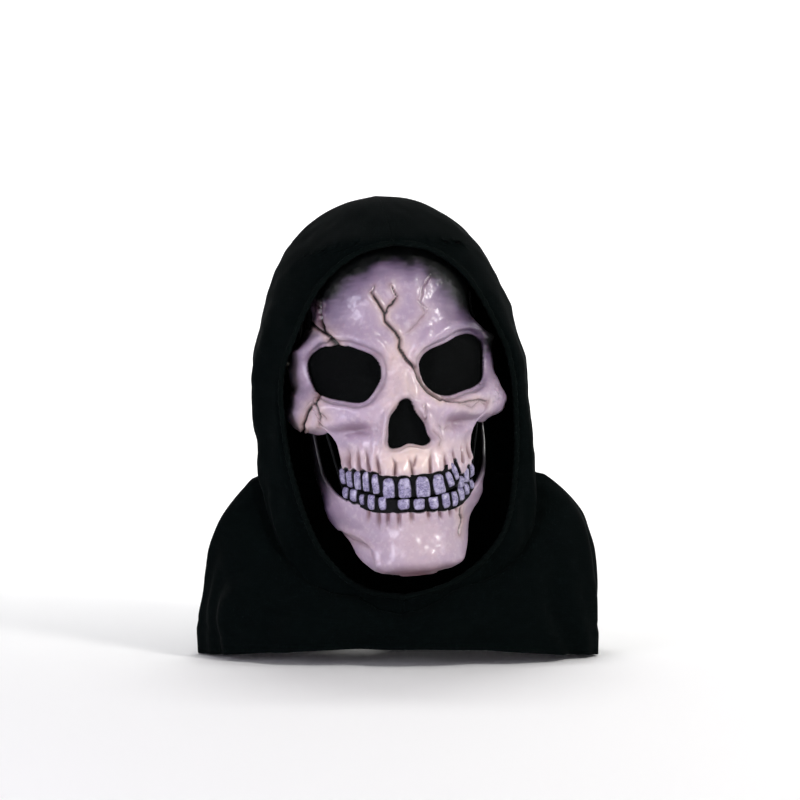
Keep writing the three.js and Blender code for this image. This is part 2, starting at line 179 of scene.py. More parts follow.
def meshObject(name, points, faces, paint=None):
    mesh = bpy.data.meshes.new(name)
    faces = np.asarray(faces)
    mesh.vertices.add(len(points))
    mesh.vertices.foreach_set("co", (np.asarray(points) * mm).ravel())
    mesh.loops.add(faces.size)
    mesh.loops.foreach_set("vertex_index", faces.ravel())
    mesh.polygons.add(len(faces))
    mesh.polygons.foreach_set("loop_start", np.arange(0, faces.size, faces.shape[1]))
    mesh.update(calc_edges=True)
    mesh.validate()
    mesh.polygons.foreach_set("use_smooth", np.ones(len(mesh.polygons), bool))
    if paint is not None:
        layer = mesh.attributes.new("paint", "FLOAT_COLOR", "POINT")
        layer.data.foreach_set("color", np.asarray(paint, float).ravel())
    piece = bpy.data.objects.new(name, mesh)
    bpy.context.collection.objects.link(piece)
    return piece


def shellFromGrid(outer, inner, kept=None,
                  paint=None):  # closes two grids into one shell round the kept squares
    rows, columns = outer.shape[:2]
    kept = np.ones((rows - 1, columns - 1), bool) if kept is None else kept
    paint = np.zeros((rows, columns, 4)) if paint is None else paint
    index = np.arange(rows * columns).reshape(rows, columns)
    a, b, c, d = index[:-1, :-1], index[:-1, 1:], index[1:, 1:], index[1:, :-1]
    offset = rows * columns
    front = np.stack((a, b, c, d), -1)[kept]
    back = np.stack((d, c, b, a), -1)[kept] + offset
    padded = np.pad(kept, 1)
    rims = []
    for first, second, neighbour in ((a, b, padded[:-2, 1:-1]), (b, c, padded[1:-1, 2:]),
                                     (c, d, padded[2:, 1:-1]), (d, a, padded[1:-1, :-2])):
        edge = kept & ~neighbour
        p, q = first[edge], second[edge]
        rims.append(np.stack((q, p, p + offset, q + offset), -1))
    faces = np.concatenate([front, back] + rims)
    used, faces = np.unique(faces, return_inverse=True)
    points = np.concatenate((outer.reshape(-1, 3), inner.reshape(-1, 3)))[used]
    colours = np.concatenate((paint.reshape(-1, 4), paint.reshape(-1, 4)))[used]
    return points, faces.reshape(-1, 4), colours


def tubeFaces(rings, turns):  # the squares between rings of points
    index = np.arange(rings * turns).reshape(rings, turns)
    right = np.roll(index, -1, axis=1)
    return np.stack((index[:-1], right[:-1], right[1:], index[1:]), -1).reshape(-1, 4)


skullGrid = {"cell": 0.75, "wall": 3.0, "edgeRoll": 2.4, "holeRoll": 1.8}
gauze = {"reach": 8, "gap": 1.2, "thick": 0.5}  # how far it runs past the hole, and stands off the casting

face = {
    "half": [(-75, 70), (-48, 71), (-30, 75), (-12, 80), (8, 82), (25, 82), (50, 80), (88, 73), (118, 60),
             (138, 44)],
    "front": [(-75, 105), (-40, 102), (-20, 100), (0, 97), (20, 93), (40, 97), (60, 100), (90, 95),
              (118, 80), (138, 59)],
    # lower edge by section angle: right cheekbone, gum line, left cheekbone
    "lowerEdge": [(-92, -14), (-86, -21), (-78, -28), (-69, -31), (-61, -30.5), (-56, -29), (-52.8, -32),
                  (-51.6, -45), (-50.6, -56), (-48, -58), (-38, -60), (-30, -63.5), (-22, -67), (0, -69),
                  (14, -68.5), (24, -66.5), (34, -63.5), (42, -61.5), (47, -59), (49.4, -55), (50.8, -45),
                  (51.6, -33), (54, -30), (61, -31), (71, -31.5), (79, -28), (86, -21), (92, -14)],
    "top": 138, "sideEdge": 92,
    # broad forms: x, z, width, height, how far they stand out, and whether both sides have one
    "forms": [
        (30, 90, 27, 22, 3.0, True), (0, 47, 12, 10, 3.5, False), (0, 27, 12, 6, -3.5, False),
        (80, -9, 16, 13, 12.5, True), (60, -8, 13, 7, 4.5, True), (80, 27, 10, 26, 4.5, True),
        (43, -28, 13, 5.5, -9.0, True), (86, -11, 15, 13, 5.5, False), (86, 66, 17, 22, -9.0, True),
        (18, -22, 6, 17, 3.5, True), (0, -46, 9, 4, 3.5, False), (0, -60, 32, 13, 2.5, False),
        (56, -47, 7, 12, -3.5, True), (19, 18, 6, 14, -3.5, True), (52, 70, 15, 11, -2.5, True),
        (0, 66, 9, 8, -1.2, False),
    ],
    # raised lines: points, width, start and end height, both sides
    "ridges": [
        ([(10, 28), (16, 37), (29, 46), (45, 52), (61, 51), (74, 43)], 6.8, 5.5, 7.5, True),
        ([(19, -6), (33, -11.5), (50, -8.5), (64, -3), (76, 4)], 5.0, 3.0, 3.5, True),
        ([(77, 42), (81, 27), (81, 8)], 4.5, 3.5, 2.5, True),
        ([(-0.5, 25), (-1, 10), (-1, -7)], 7.0, 2.5, 11.0, False),
        ([(16, 26), (15.5, 8), (12, -8), (17, -22), (23, -40)], 3.6, 1.2, 2.6, True),
        ([(24, 51), (16, 42), (9.5, 31)], 2.2, 1.2, 2.0, True),
        ([(34, -20), (29, -33), (31, -50)], 2.6, 2.0, 1.2, True),
        ([(40, -16), (50, -19), (63, -21), (77, -20)], 6.5, 4.0, 4.5, True),
        ([(24, -24), (22, -36), (25, -50)], 2.2, 1.3, 1.0, True),
    ],
    # how far the latex sinks at each hole, how wide, and the lip round it
    "sockets": {"eyeRight": (4.5, 3.0, 0.3), "eyeLeft": (4.5, 3.0, 0.3), "nose": (2.6, 2.2, 0.7)},
    "eyeRight": [(-75, 33), (-65, 43), (-47, 43.5), (-32, 37.5), (-22.5, 31), (-18, 22.5), (-19, 12.5),
                 (-28, 0.5), (-37, -4.7), (-52, -1.5), (-68, 4), (-72.5, 12), (-75, 22)],
    "eyeLeft": [(15, 25), (22, 33), (38, 38.5), (50, 43.8), (62, 45), (71, 40.5), (76, 32), (75, 18.5),
                (71.5, 7), (63.5, 1.5), (47.5, -3), (37, -5), (25, -2), (17.5, 6.5), (14.5, 15.5)],
    "nose": [(-5.5, -6), (2.4, -6), (7, -16.5), (12.6, -26), (14.5, -35), (17, -41), (10.5, -44.5),
             (-1, -41.5), (-10.5, -44.5), (-18, -43), (-17, -29.5), (-15, -20), (-9.5, -13)],
    # the limit of the bone colour on the forehead and temples
    "bonePaint": [(-130, -60), (-130, 20), (-96, 52), (-84, 72), (-72, 86), (-62, 76), (-52, 84), (-41, 94),
                  (-25, 105), (2, 110), (24, 103), (38, 90), (50, 73), (62, 58), (77, 48), (84, 30),
                  (110, 10), (110, -60), (60, -90), (-60, -90)],
    # cracks: points, width at the start and the end, depth
    "cracks": [
        ([(-21, 84), (-17, 76), (-12.5, 67), (-12.5, 60), (-5, 50.5), (-2, 44), (-2.5, 37), (3.5, 26.5),
          (10, 19), (12.5, 9.5), (18.5, -0.5), (28, -8)], 0.9, 1.15, 2.6),
        ([(18.5, -0.5), (28, -8), (46, -12), (62, -11), (72, -13.5)], 0.9, 0.55, 1.2),
        ([(-12.4, 66), (-9, 71), (-3, 76.5), (-1, 80), (-4.5, 89)], 0.9, 0.45, 1.5),
        ([(-21, 84), (-18.5, 90)], 0.7, 0.4, 1.1),
        ([(30, 96), (22.5, 86.5), (18, 74), (21.5, 64.5), (15, 57.5), (5, 49)], 0.5, 0.6, 0.7),
        ([(16, 75), (23, 68)], 0.5, 0.45, 0.6),
        ([(-61.5, 84), (-62, 69), (-61, 57), (-57, 49.5), (-50, 43)], 0.8, 1.7, 3.0),
        ([(-70, 68), (-65, 60), (-61, 55.5)], 0.7, 1.1, 2.0),
        ([(-66.5, 86), (-62.5, 75)], 0.5, 0.7, 1.2),
        ([(-68, 4), (-72.5, -2), (-77.5, -5.5), (-80.5, -12.5), (-83, -19), (-82, -27)], 1.0, 0.9, 2.4),
        ([(-72.5, -2), (-71, -8.5), (-69.5, -14), (-71.5, -21)], 0.8, 0.5, 1.4),
        ([(-69.5, -10.5), (-65, -16)], 0.6, 0.4, 1.0),
        ([(37, -9), (47, -13), (56, -17), (64, -12), (71, -17)], 0.6, 0.5, 0.8),
        ([(14.5, -11), (14.5, -21), (13, -25)], 0.6, 0.5, 0.9),
        ([(24, -29), (29, -33), (33, -31)], 0.5, 0.4, 0.6),
        ([(19, -33), (25, -40), (24, -47)], 0.6, 0.4, 0.8),
    ],
    # grooves between the tooth roots: points, width, depth
    "rootGrooves": [
        ([(-56, -57), (-57, -42)], 1.0, 1.8), ([(-49, -58), (-51, -40)], 1.2, 2.1),
        ([(-42, -60), (-44, -38)], 1.2, 2.1), ([(-35.5, -61), (-37, -40)], 1.2, 2.1),
        ([(-28, -64), (-29.5, -45)], 1.3, 2.3), ([(-15.6, -66), (-14.5, -57), (-18.5, -50)], 1.3, 2.8),
        ([(-1, -67), (-1.5, -58), (-4, -51)], 1.3, 2.8), ([(0.5, -60), (4.5, -50)], 1.0, 1.8),
        ([(14, -67), (15, -57), (18, -47)], 1.3, 2.8), ([(27.5, -65), (28.5, -50)], 1.2, 2.1),
        ([(35, -61), (35.5, -46)], 1.1, 1.8), ([(43, -61), (46, -44)], 1.1, 1.8),
        ([(50, -58), (52, -44)], 1.0, 1.4),
    ],
}

jaw = {
    "sideEdge": 93,
    # half width and front reach by height
    "half": [(-151, 43), (-147, 48), (-140, 52), (-127, 53), (-110, 57), (-96, 64), (-85, 69), (-59, 75),
             (-33, 76), (0, 78), (12, 78)],
    "front": [(-151, 97), (-140, 108), (-127, 110), (-110, 106.5), (-96, 107), (-60, 106), (12, 106)],
    # lower and upper edge by section angle
    "lowerEdge": [(-93, -8), (-90, -36), (-86, -66), (-80, -94), (-72, -113), (-62, -129), (-52, -141),
                  (-41, -148), (-28, -151), (-10, -152), (10, -152), (28, -150), (41, -144.5), (52, -135),
                  (62, -120), (72, -103), (80, -86), (86, -62), (90, -36), (93, -8)],
    "upperEdge": [(-93, 2), (-88, 8), (-82, 4), (-77, -28), (-71, -60), (-63, -75), (-56, -81), (-44, -87),
                  (-35, -89.5), (-31, -95), (-20, -96), (-8, -97), (0, -97.5), (12, -98), (20, -99.5),
                  (31, -96), (38, -91.5), (44, -87.5), (52, -82), (62, -75), (71, -60), (77, -28), (82, 4),
                  (88, 8), (93, 2)],
    "forms": [
        (0, -141, 23, 9, 4.0, False), (30, -141, 9, 10, 3.5, True), (0, -119, 36, 8, -1.5, False),
        (52, -104, 12, 12, -1.5, False), (0, -100, 40, 7, 1.5, False), (-62, -111, 16, 24, 6.8, False),
        (-46, -131, 12, 11, 3.0, False), (48, -136, 12, 9, 2.0, False),
    ],
    "ridges": [
        ([(-64, -90), (-57, -105), (-42, -118), (-35, -127), (-32, -139)], 2.0, 2.6, 2.2, False),
        ([(66, -89), (56, -102), (46, -113)], 3.0, 1.6, 0.6, False),
    ],
    "cracks": [
        ([(38, -99), (37, -104), (39.5, -109), (37, -114), (35.5, -121)], 1.0, 0.7, 1.4),
        ([(-60, -112), (-52, -119), (-42, -123)], 0.7, 0.5, 0.7),
    ],
    "rootGrooves": [
        ([(-39, -92), (-40, -108)], 1.4, 1.3), ([(-31.5, -96), (-32, -113)], 1.4, 2.2),
        ([(-24, -96), (-25, -112)], 1.5, 2.4), ([(-15.6, -96), (-15.8, -113)], 1.7, 2.9),
        ([(-5, -97), (-5, -110)], 1.7, 2.9), ([(9, -98), (9.5, -108)], 1.6, 2.4),
        ([(19, -99), (19.5, -109)], 1.6, 2.4), ([(28, -98), (28.5, -108)], 1.4, 2.0),
        ([(34, -96), (34.5, -104)], 1.3, 1.5),
    ],
}

sectionPower = 2 / 2.4


def raised(x, z, forms, ridges):  # broad forms and ridges, as a height above the plain section
    height = np.zeros(x.shape)
    for cx, cz, wide, tall, high, bothSides in forms:
        side = np.abs(x) if bothSides else x
        height += high * np.exp(-((side - cx) / wide) ** 2 - ((z - cz) / tall) ** 2)
    for points, width, startHigh, endHigh, bothSides in ridges:
        side = np.abs(x) if bothSides else x
        d, along = distanceTo(side, z, smoothLine(points, 24))
        height += (startHigh + (endHigh - startHigh) * along) * np.exp(-(d / width) ** 2)
    return height


def carve(x, z, cracks, grooves):  # depth of the cracks and root grooves, and the paint rubbed into them
    depth, dark, warm, rust = (np.zeros(x.shape) for _ in range(4))
    wander = 0.5 * unevenness(x, z, 3.1, 5)
    for points, startWide, endWide, deep in cracks:
        d, along = distanceTo(x + wander, z - wander, points)
        width = startWide + (endWide - startWide) * along
        fade = smoothStep(1 - np.abs(2 * along - 1), -0.02, 0.12) * 0.75 + 0.25
        curled = 0.35 * deep * np.exp(-((d - 2.5 * width) / (1.2 * width)) ** 2)
        depth += deep * fade * np.exp(-(d / width) ** 2) - curled
        dark = np.maximum(dark, fade * min(1, deep / 1.5) ** 2 * smoothStep(d, 1.25 * width, 0.45 * width))
        warm = np.maximum(warm, min(1, deep / 2) * np.exp(-(d / 6) ** 2))
        rust = np.maximum(rust, 0.7 * min(1, deep / 2) * np.exp(-(d / 2.4) ** 2))
    for points, width, deep in grooves:
        d, along = distanceTo(x, z, points)
        fade = 1 - smoothStep(along, 0.35, 1)
        depth += 1.3 * deep * fade * np.exp(-(d / width) ** 2)
        rust = np.maximum(rust, 0.85 * fade * np.exp(-(d / (1.1 * width)) ** 2))
    return depth, dark, warm, rust


def rolledEdge(distance, radius):  # how far the latex turns in at its edge
    d = np.clip(distance, 0, radius)
    return radius - np.sqrt(np.maximum(radius ** 2 - (radius - d) ** 2, 0))


def snapToEdge(points, distance, cell):  # draws grid points onto a cut edge, so that it runs smoothly
    dz, dx = np.gradient(distance)
    zz, zx = np.gradient(points[..., 2])
    xz, xx = np.gradient(points[..., 0])
    determinant = xx * zz - xz * zx + 1e-9
    gradX = (dx * zz - dz * zx) / determinant
    gradZ = (dz * xx - dx * xz) / determinant
    size = np.hypot(gradX, gradZ) + 1e-9
    near = (np.abs(distance) < 0.62 * cell) & (size > 0.5) & (size < 2)
    shift = np.where(near, distance / size ** 2, 0)
    points[..., 0] -= shift * gradX
    points[..., 2] -= shift * gradZ
    return np.where(near, 0, distance)


def squaresWithin(distance):  # the grid squares that lie wholly on the outer side of an edge
    corners = np.stack((distance[:-1, :-1], distance[1:, :-1], distance[:-1, 1:], distance[1:, 1:]))
    return (corners.min(axis=0) > -1e-6) & (corners.mean(axis=0) > 0.02)


def mouldedSurface(part, degrees, z):  # the broad shape of a casting, by section angle and height
    half, front = smoothCurve(part["half"])(z), smoothCurve(part["front"])(z)
    x, y = section(np.radians(degrees), half, front, 1, sectionPower)
    base = np.stack((x, y, z), -1)
    return smoothed(base + gridNormals(base) * raised(x, z, part["forms"], part["ridges"])[..., None], 3)


def gumEdge(degrees, row, upper):  # the scalloped edge of the gum over a row of teeth
    way = 1 if upper else -1
    places = np.array([tooth[0] for tooth in row])
    roots = np.array([tooth[3] + way * tooth[2] / 2 for tooth in row])
    between = (places[1:] + places[:-1]) / 2
    i = np.searchsorted(between, degrees)
    left = np.concatenate(([2 * places[0] - between[0]], between))[i]
    right = np.concatenate((between, [2 * places[-1] - between[-1]]))[i]
    reach = np.where(degrees < places[i], places[i] - left, right - places[i])
    t = np.clip(np.abs(degrees - places[i]) / reach, 0, 1)
    edge = roots[i] + way * (1.3 - (3.6 if upper else 2.0) * smoothStep(reach, 6.3, 4.5) * t ** 2.4)
    kernel = np.ones(5) / 5
    even = lambda line: np.convolve(np.pad(line, 2, mode="edge"), kernel, "valid")
    return np.apply_along_axis(even, 1, edge)


def speckle(x, z, count, low, high, seed):  # small round pits: how deep into one each point is
    rng = np.random.default_rng(seed)
    pits = np.zeros(x.shape)
    for cx, cz in rng.uniform(low, high, (count, 2)):
        size = rng.uniform(0.9, 1.9)
        pits = np.maximum(pits, rng.uniform(0.4, 1) * np.exp(-((x - cx) ** 2 + (z - cz) ** 2) / size ** 2))
    return pits


def castFace():
    cell, wall = skullGrid["cell"], skullGrid["wall"]
    columns, rows = int(296 / cell), int(215 / cell)
    sideEdge = face["sideEdge"]
    degrees, v = np.meshgrid(np.linspace(-sideEdge, sideEdge, columns), np.linspace(0, 1, rows))
    overTeeth = smoothStep(np.abs(degrees + 2.5), 50, 48)
    lower = smoothCurve(face["lowerEdge"])(degrees)
    lower += (gumEdge(degrees, teeth["upper"], True) - lower) * overTeeth
    plain = -70 + (face["top"] + 70) * v
    z = plain + (lower + 70) * np.clip(1 - (plain + 70) / 100, 0, 1)
    broad = mouldedSurface(face, degrees, z)
    outlines = {name: smoothLine(face[name], 64, closed=True) for name in face["sockets"]}
    normal = smoothed(gridNormals(broad), 2)
    gauzes = {}
    for name, (sink, reach, lip) in face["sockets"].items():
        d = outside(broad[..., 0], broad[..., 2], outlines[name])
        gauzes[name] = d
        d = np.maximum(d, 0)
        lift = lip * np.exp(-((d - 2 * reach) / 3) ** 2) - sink * np.exp(-(d / reach) ** 2)
        broad = broad + normal * lift[..., None]
    panels = [castGauze(name, broad, gauzes[name]) for name in gauzes]
    x, z = broad[..., 0], broad[..., 2]
    hole = np.minimum.reduce([outside(x, z, line) for line in outlines.values()]) + 0.6
    hole = snapToEdge(broad, hole, cell)
    depth, dark, warm, rust = carve(x, z, face["cracks"], face["rootGrooves"])
    for place, width, height, middle, _ in teeth["upper"]:  # each root swells the bone above its tooth
        rootX = archPlace(place, middle, 0)[0]
        root = [(rootX, middle + 0.4 * height), (1.03 * rootX, middle + height / 2 + 17)]
        d, along = distanceTo(x, z, root)
        depth -= 2.3 * (1 - smoothStep(along, 0.3, 1)) * np.exp(-(d / (0.34 * width)) ** 2)
    lumps = 0.8 * unevenness(x, z, 15, 1) + 0.5 * unevenness(x, z, 6.5, 2) + 0.12 * unevenness(x, z, 2.2, 3)
    pits = speckle(x, z, 26, (78, -20), (94, 8), 8)
    edge = z - lower
    roll = skullGrid["edgeRoll"]
    rolled = (rolledEdge(hole, skullGrid["holeRoll"]) + rolledEdge(edge, roll)
              + rolledEdge((sideEdge - np.abs(degrees)) * 1.6, roll))
    normal = smoothed(gridNormals(broad), 2)
    sunk = np.minimum(depth + 1.4 * pits - lumps + np.minimum(rolled, wall - 0.4), wall - 0.3)
    outer = broad - normal * sunk[..., None]
    inner = broad - normal * wall

    forehead = outside(x, z, smoothLine(face["bonePaint"], 90, closed=True))
    forehead += 3.5 * unevenness(x, z, 9, 11) + 1.6 * unevenness(x * 0.6, z * 2, 4, 12)
    # Painted shade: the rolled rims of the eye and nose holes are painted black, and purple is brushed
    # round each hole.
    paintedHoleShade = smoothStep(hole, 1.1, 0.4)
    gumDark = smoothStep(edge, 1.7, 0.8) * overTeeth
    back = smoothStep(np.abs(degrees), 86, 91)
    # Painted shade under each cheekbone, laid on in purple and rust.
    under = np.exp(-((np.abs(x) - 44) / 14) ** 2 - ((z + 26) / 4.5) ** 2)
    black = np.maximum.reduce((dark, paintedHoleShade, gumDark, back, smoothStep(forehead, -8, 5)))
    # purple: the airbrushed fade at the bone paint's edge and along the sides, plus painted shade over the
    # brow and upper face (heavier on the wearer's right), under the cheekbones and round the holes.
    purple = np.maximum.reduce((0.95 * smoothStep(forehead, -34, 0), 0.1 * smoothStep(np.abs(x), 56, 88),
                                0.3 * smoothStep(z - 0.15 * x, 28, 56), 0.4 * under,
                                0.35 * np.exp(-(hole / 5) ** 2)))
    cream = 0.9 * np.exp(-(x / 21) ** 2) * smoothStep(z, 62, 20) + 0.5 * smoothStep(z, -35, -50)
    warm = np.maximum(warm, cream)
    # rust: rubbed into the cracks and grooves, plus the painted shade under the cheekbones.
    rust = np.maximum(rust, 0.4 * under)
    paint = np.clip(np.stack((black, purple, warm, rust), -1), 0, 1)
    points, faces, colours = shellFromGrid(outer, inner, squaresWithin(hole), paint)
    print("skull face", len(faces))
    return meshObject("castSkullFace", headToWorld(points), faces, colours), panels


def castGauze(name, broad, distance):  # black gauze glued inside a hole, following the casting
    step = 4
    surface = smoothed(broad, 30)[::step, ::step]
    edge = gauze["reach"] - distance[::step, ::step]
    normal = smoothed(gridNormals(surface), 4)
    outer = surface - normal * (skullGrid["wall"] + gauze["gap"])
    edge = snapToEdge(outer, edge, skullGrid["cell"] * step)
    points, faces, _ = shellFromGrid(outer, outer - normal * gauze["thick"], squaresWithin(edge))
    return meshObject(name + "Gauze", headToWorld(points), faces)


def castJaw():
    cell, wall = skullGrid["cell"], skullGrid["wall"]
    columns, rows = int(250 / cell), int(75 / cell)
    sideEdge, roll = jaw["sideEdge"], skullGrid["edgeRoll"]
    degrees, v = np.meshgrid(np.linspace(-sideEdge, sideEdge, columns), np.linspace(0, 1, rows))
    low = smoothCurve(jaw["lowerEdge"])(degrees)
    high = smoothCurve(jaw["upperEdge"])(degrees)
    underTeeth = smoothStep(np.abs(degrees + 2), 48, 45)
    high += (gumEdge(degrees, teeth["lower"], False) - high) * underTeeth
    v = 0.65 * v + 0.35 * (1 - np.cos(np.pi * v / 2))  # closer rows under the chin
    broad = mouldedSurface(jaw, degrees, low + (high - low) * v)
    x, z = broad[..., 0], broad[..., 2]
    depth, dark, warm, rust = carve(x, z, jaw["cracks"], jaw["rootGrooves"])
    lumps = 0.7 * unevenness(x, z, 15, 21) + 0.4 * unevenness(x, z, 6, 22) + 0.1 * unevenness(x, z, 2.2, 23)
    chinBend = 3 * rolledEdge(z - low, 7) / 7
    sides = rolledEdge(high - z, roll) + rolledEdge((sideEdge - np.abs(degrees)) * 1.6, roll)
    normal = smoothed(gridNormals(broad), 2)
    broad = broad - normal * chinBend[..., None]
    sunk = np.minimum(depth - lumps + np.minimum(sides, wall - 0.4), wall - 0.3)
    outer = broad - normal * sunk[..., None]
    inner = broad - normal * wall

    gumDark = smoothStep(high - z, 1.7, 0.8) * underTeeth
    branch = smoothStep(z, -88, -66) * smoothStep(np.abs(degrees), 50, 60)
    black = np.maximum.reduce((dark, gumDark, 0.96 * branch))
    # Painted shade along the underside of the chin: purple and rust deepen towards its lowest edge.
    purple = np.maximum.reduce((0.9 * smoothStep(np.abs(degrees), 60, 74),
                                0.14 + 0.3 * smoothStep(z, -136, -150)))
    warm = np.maximum(warm, 0.4 * np.exp(-(x / 34) ** 2))
    rust = np.maximum(rust, 0.7 * np.exp(-((x + 3) / 34) ** 2) * smoothStep(z, -137, -150))
    paint = np.clip(np.stack((black, purple, warm, rust), -1), 0, 1)
    points, faces, colours = shellFromGrid(outer, inner, paint=paint)
    print("lower jaw", len(faces))
    return meshObject("castLowerJaw", headToWorld(points), faces, colours)


teeth = {
    "half": 69, "front": 108, "depth": 4.0, "sink": 2.4, "gumSink": 1.2, "gumThick": 3,
    # place round the arch in degrees, width, height, middle height, lean in degrees
    "upper": [
        (-50.8, 8.6, 12.8, -64.7, 3), (-44.1, 8.4, 13.6, -67.1, 4), (-37.1, 8.0, 15.2, -68.8, 3),
        (-30.2, 7.2, 16.0, -70.2, 2), (-23.3, 7.2, 15.8, -72.5, 3), (-14.5, 11.4, 16.0, -76.7, 2),
        (-4.9, 12.2, 15.9, -77.5, 0), (3.2, 13.8, 16.5, -78.0, -2), (13.3, 12.0, 16.0, -76.8, -6),
        (21.8, 7.6, 12.6, -74.1, -16), (26.4, 5.8, 15.4, -67.5, -26), (31.5, 7.6, 10.0, -77.5, 12),
        (37.8, 8.8, 12.6, -72.3, 2), (45.4, 8.6, 11.8, -68.6, -8),
    ],
    "lower": [
        (-49.2, 8.6, 9.4, -79.0, 6), (-41.6, 9.6, 10.2, -81.4, 6), (-34.6, 5.4, 8.5, -85.0, 0),
        (-27.4, 7.8, 12.2, -87.9, 6), (-19.4, 7.8, 10.7, -89.2, 0), (-6.1, 11.4, 8.4, -91.4, 0),
        (0.9, 10.8, 9.0, -92.5, 0), (8.8, 9.8, 9.7, -92.4, 0), (17.2, 8.4, 12.0, -91.7, -3),
        (24.4, 7.2, 11.8, -91.0, 3), (30.6, 7.4, 10.4, -87.9, -4), (36.8, 8.4, 9.4, -84.2, 4),
        (43.6, 7.6, 7.6, -80.9, 2),
    ],
    "crown": [(-1, 0.7), (-0.93, 0.87), (-0.78, 0.97), (-0.4, 1.0), (0.2, 0.98), (0.6, 0.88), (0.85, 0.66),
              (0.96, 0.42), (1, 0.2)],
    "profile": [(-1, 0.45), (-0.8, 0.75), (-0.2, 1.0), (0.5, 1.0), (0.85, 0.7), (1, 0.2)],
    "upperGum": [(-55, -57, -72), (-43, -59, -75.5), (-30, -62, -79.5), (-15, -67, -84.6), (0, -68, -86),
                 (15, -67.5, -84.8), (25, -60, -82), (36, -62.5, -79), (49, -59, -74)],
    "lowerGum": [(-54, -74, -83), (-43, -77, -88), (-32, -80, -94), (-24, -83.5, -96.5), (0, -87.6, -98.2),
                 (18, -86, -99.5), (30, -83, -97), (40, -79, -91), (49, -75.5, -85)],
}


def archPlace(degrees, z, sink):  # a point on the tooth arch, set back by sink
    x, y = section(np.radians(degrees), teeth["half"] - sink, teeth["front"] - sink, 1, sectionPower)
    return np.array((x, y, z))


def toothMesh(place, width, height, lean, upper, seed):
    rng = np.random.default_rng(seed)
    rings, turns = ((26, 32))
    s = np.sin(np.linspace(-math.pi / 2, math.pi / 2, rings))  # biting end to root
    s, around = np.meshgrid(s, np.linspace(0, 2 * math.pi, turns, endpoint=False), indexing="ij")
    crown, profile = smoothCurve(teeth["crown"])(s), smoothCurve(teeth["profile"])(s)
    x = np.sign(np.cos(around)) * np.abs(np.cos(around)) ** 0.6 * crown * 0.468 * width
    y = np.sign(np.sin(around)) * np.abs(np.sin(around)) ** 0.8 * profile * teeth["depth"]
    x[0], y[0], x[-1], y[-1] = 0.02 * x[0], 0.02 * y[0], 0.02 * x[-1], 0.02 * y[-1]
    z = (s if upper else -s) * 0.53 * height
    x += 0.4 * unevenness(z + seed * 7, y + 20 + seed, 4, seed)
    y += 0.35 * unevenness(x + seed * 5, z + seed, 3, seed + 50) + 0.12 * np.sin(x * 2.1 + seed)
    z += 0.4 * unevenness(x + seed * 3, y, 3, seed + 90)
    tilt = math.radians(lean + rng.uniform(-2, 2))
    x, z = x * math.cos(tilt) + z * math.sin(tilt), z * math.cos(tilt) - x * math.sin(tilt)
    (degrees, middle), sink = place, teeth["sink"]
    ahead = archPlace(degrees + 0.5, middle, sink) - archPlace(degrees - 0.5, middle, sink)
    across = ahead / np.linalg.norm(ahead)
    back = np.array((-across[1], across[0], 0))
    points = (archPlace(degrees, middle, sink) + x[..., None] * across + y[..., None] * back
              + z[..., None] * np.array((0, 0, 1))).reshape(-1, 3)
    faces = tubeFaces(rings, turns)
    # Painted shade: black where each tooth's sides face its neighbours and at its biting and root ends, so
    # the gaps read dark.
    toothGapShade = np.maximum.reduce((smoothStep(np.abs(np.sin(around)), 0.74, 0.34), smoothStep(s, 0.86, 0.98),
                                 0.8 * smoothStep(-s, 0.93, 1.0)))
    paint = np.stack((toothGapShade, 0 * s, 0 * s, 0 * s + 1), -1).reshape(-1, 4)
    return points, faces if upper else faces[:, ::-1], paint


def gumMesh(line):  # the painted gum that the teeth stand in
    degrees, top, bottom = np.array(line, float).T
    span = np.linspace(degrees[0], degrees[-1], 130)
    high = smoothCurve(list(zip(degrees, top)))(span)
    low = smoothCurve(list(zip(degrees, bottom)))(span)
    v = np.linspace(0, 1, 12)[:, None]
    z = low + (high - low) * v
    lumps = 0.5 * unevenness(span * 1.5, z, 3, 31)
    half, front = teeth["half"] - teeth["gumSink"] + lumps, teeth["front"] - teeth["gumSink"] + lumps
    x, y = section(np.radians(span)[None, :], half, front, 1, sectionPower)
    outer = np.stack((x, y, z), -1)
    return shellFromGrid(outer, outer - gridNormals(outer) * teeth["gumThick"])


def toothRow(name, row, gumLine, upper):
    parts = [toothMesh((degrees, middle), width, height, lean, upper, 200 + 10 * i + upper)
             for i, (degrees, width, height, middle, lean) in enumerate(row)]
    parts.append(gumMesh(gumLine))
    points, faces, paint = zip(*parts)
    starts = np.cumsum([0] + [len(each) for each in points[:-1]])
    slots = np.repeat([0] * len(row) + [1], [len(each) for each in faces])  # teeth first, then gum
    faces = np.concatenate([each + start for each, start in zip(faces, starts)])
    return meshObject(name, headToWorld(np.concatenate(points)), faces, np.concatenate(paint)), slots


print("skull")
skullFace, gauzePanels = castFace()
lowerJaw = castJaw()
upperTeeth, upperSlots = toothRow("upperToothRow", teeth["upper"], teeth["upperGum"], True)
lowerTeeth, lowerSlots = toothRow("lowerToothRow", teeth["lower"], teeth["lowerGum"], False)


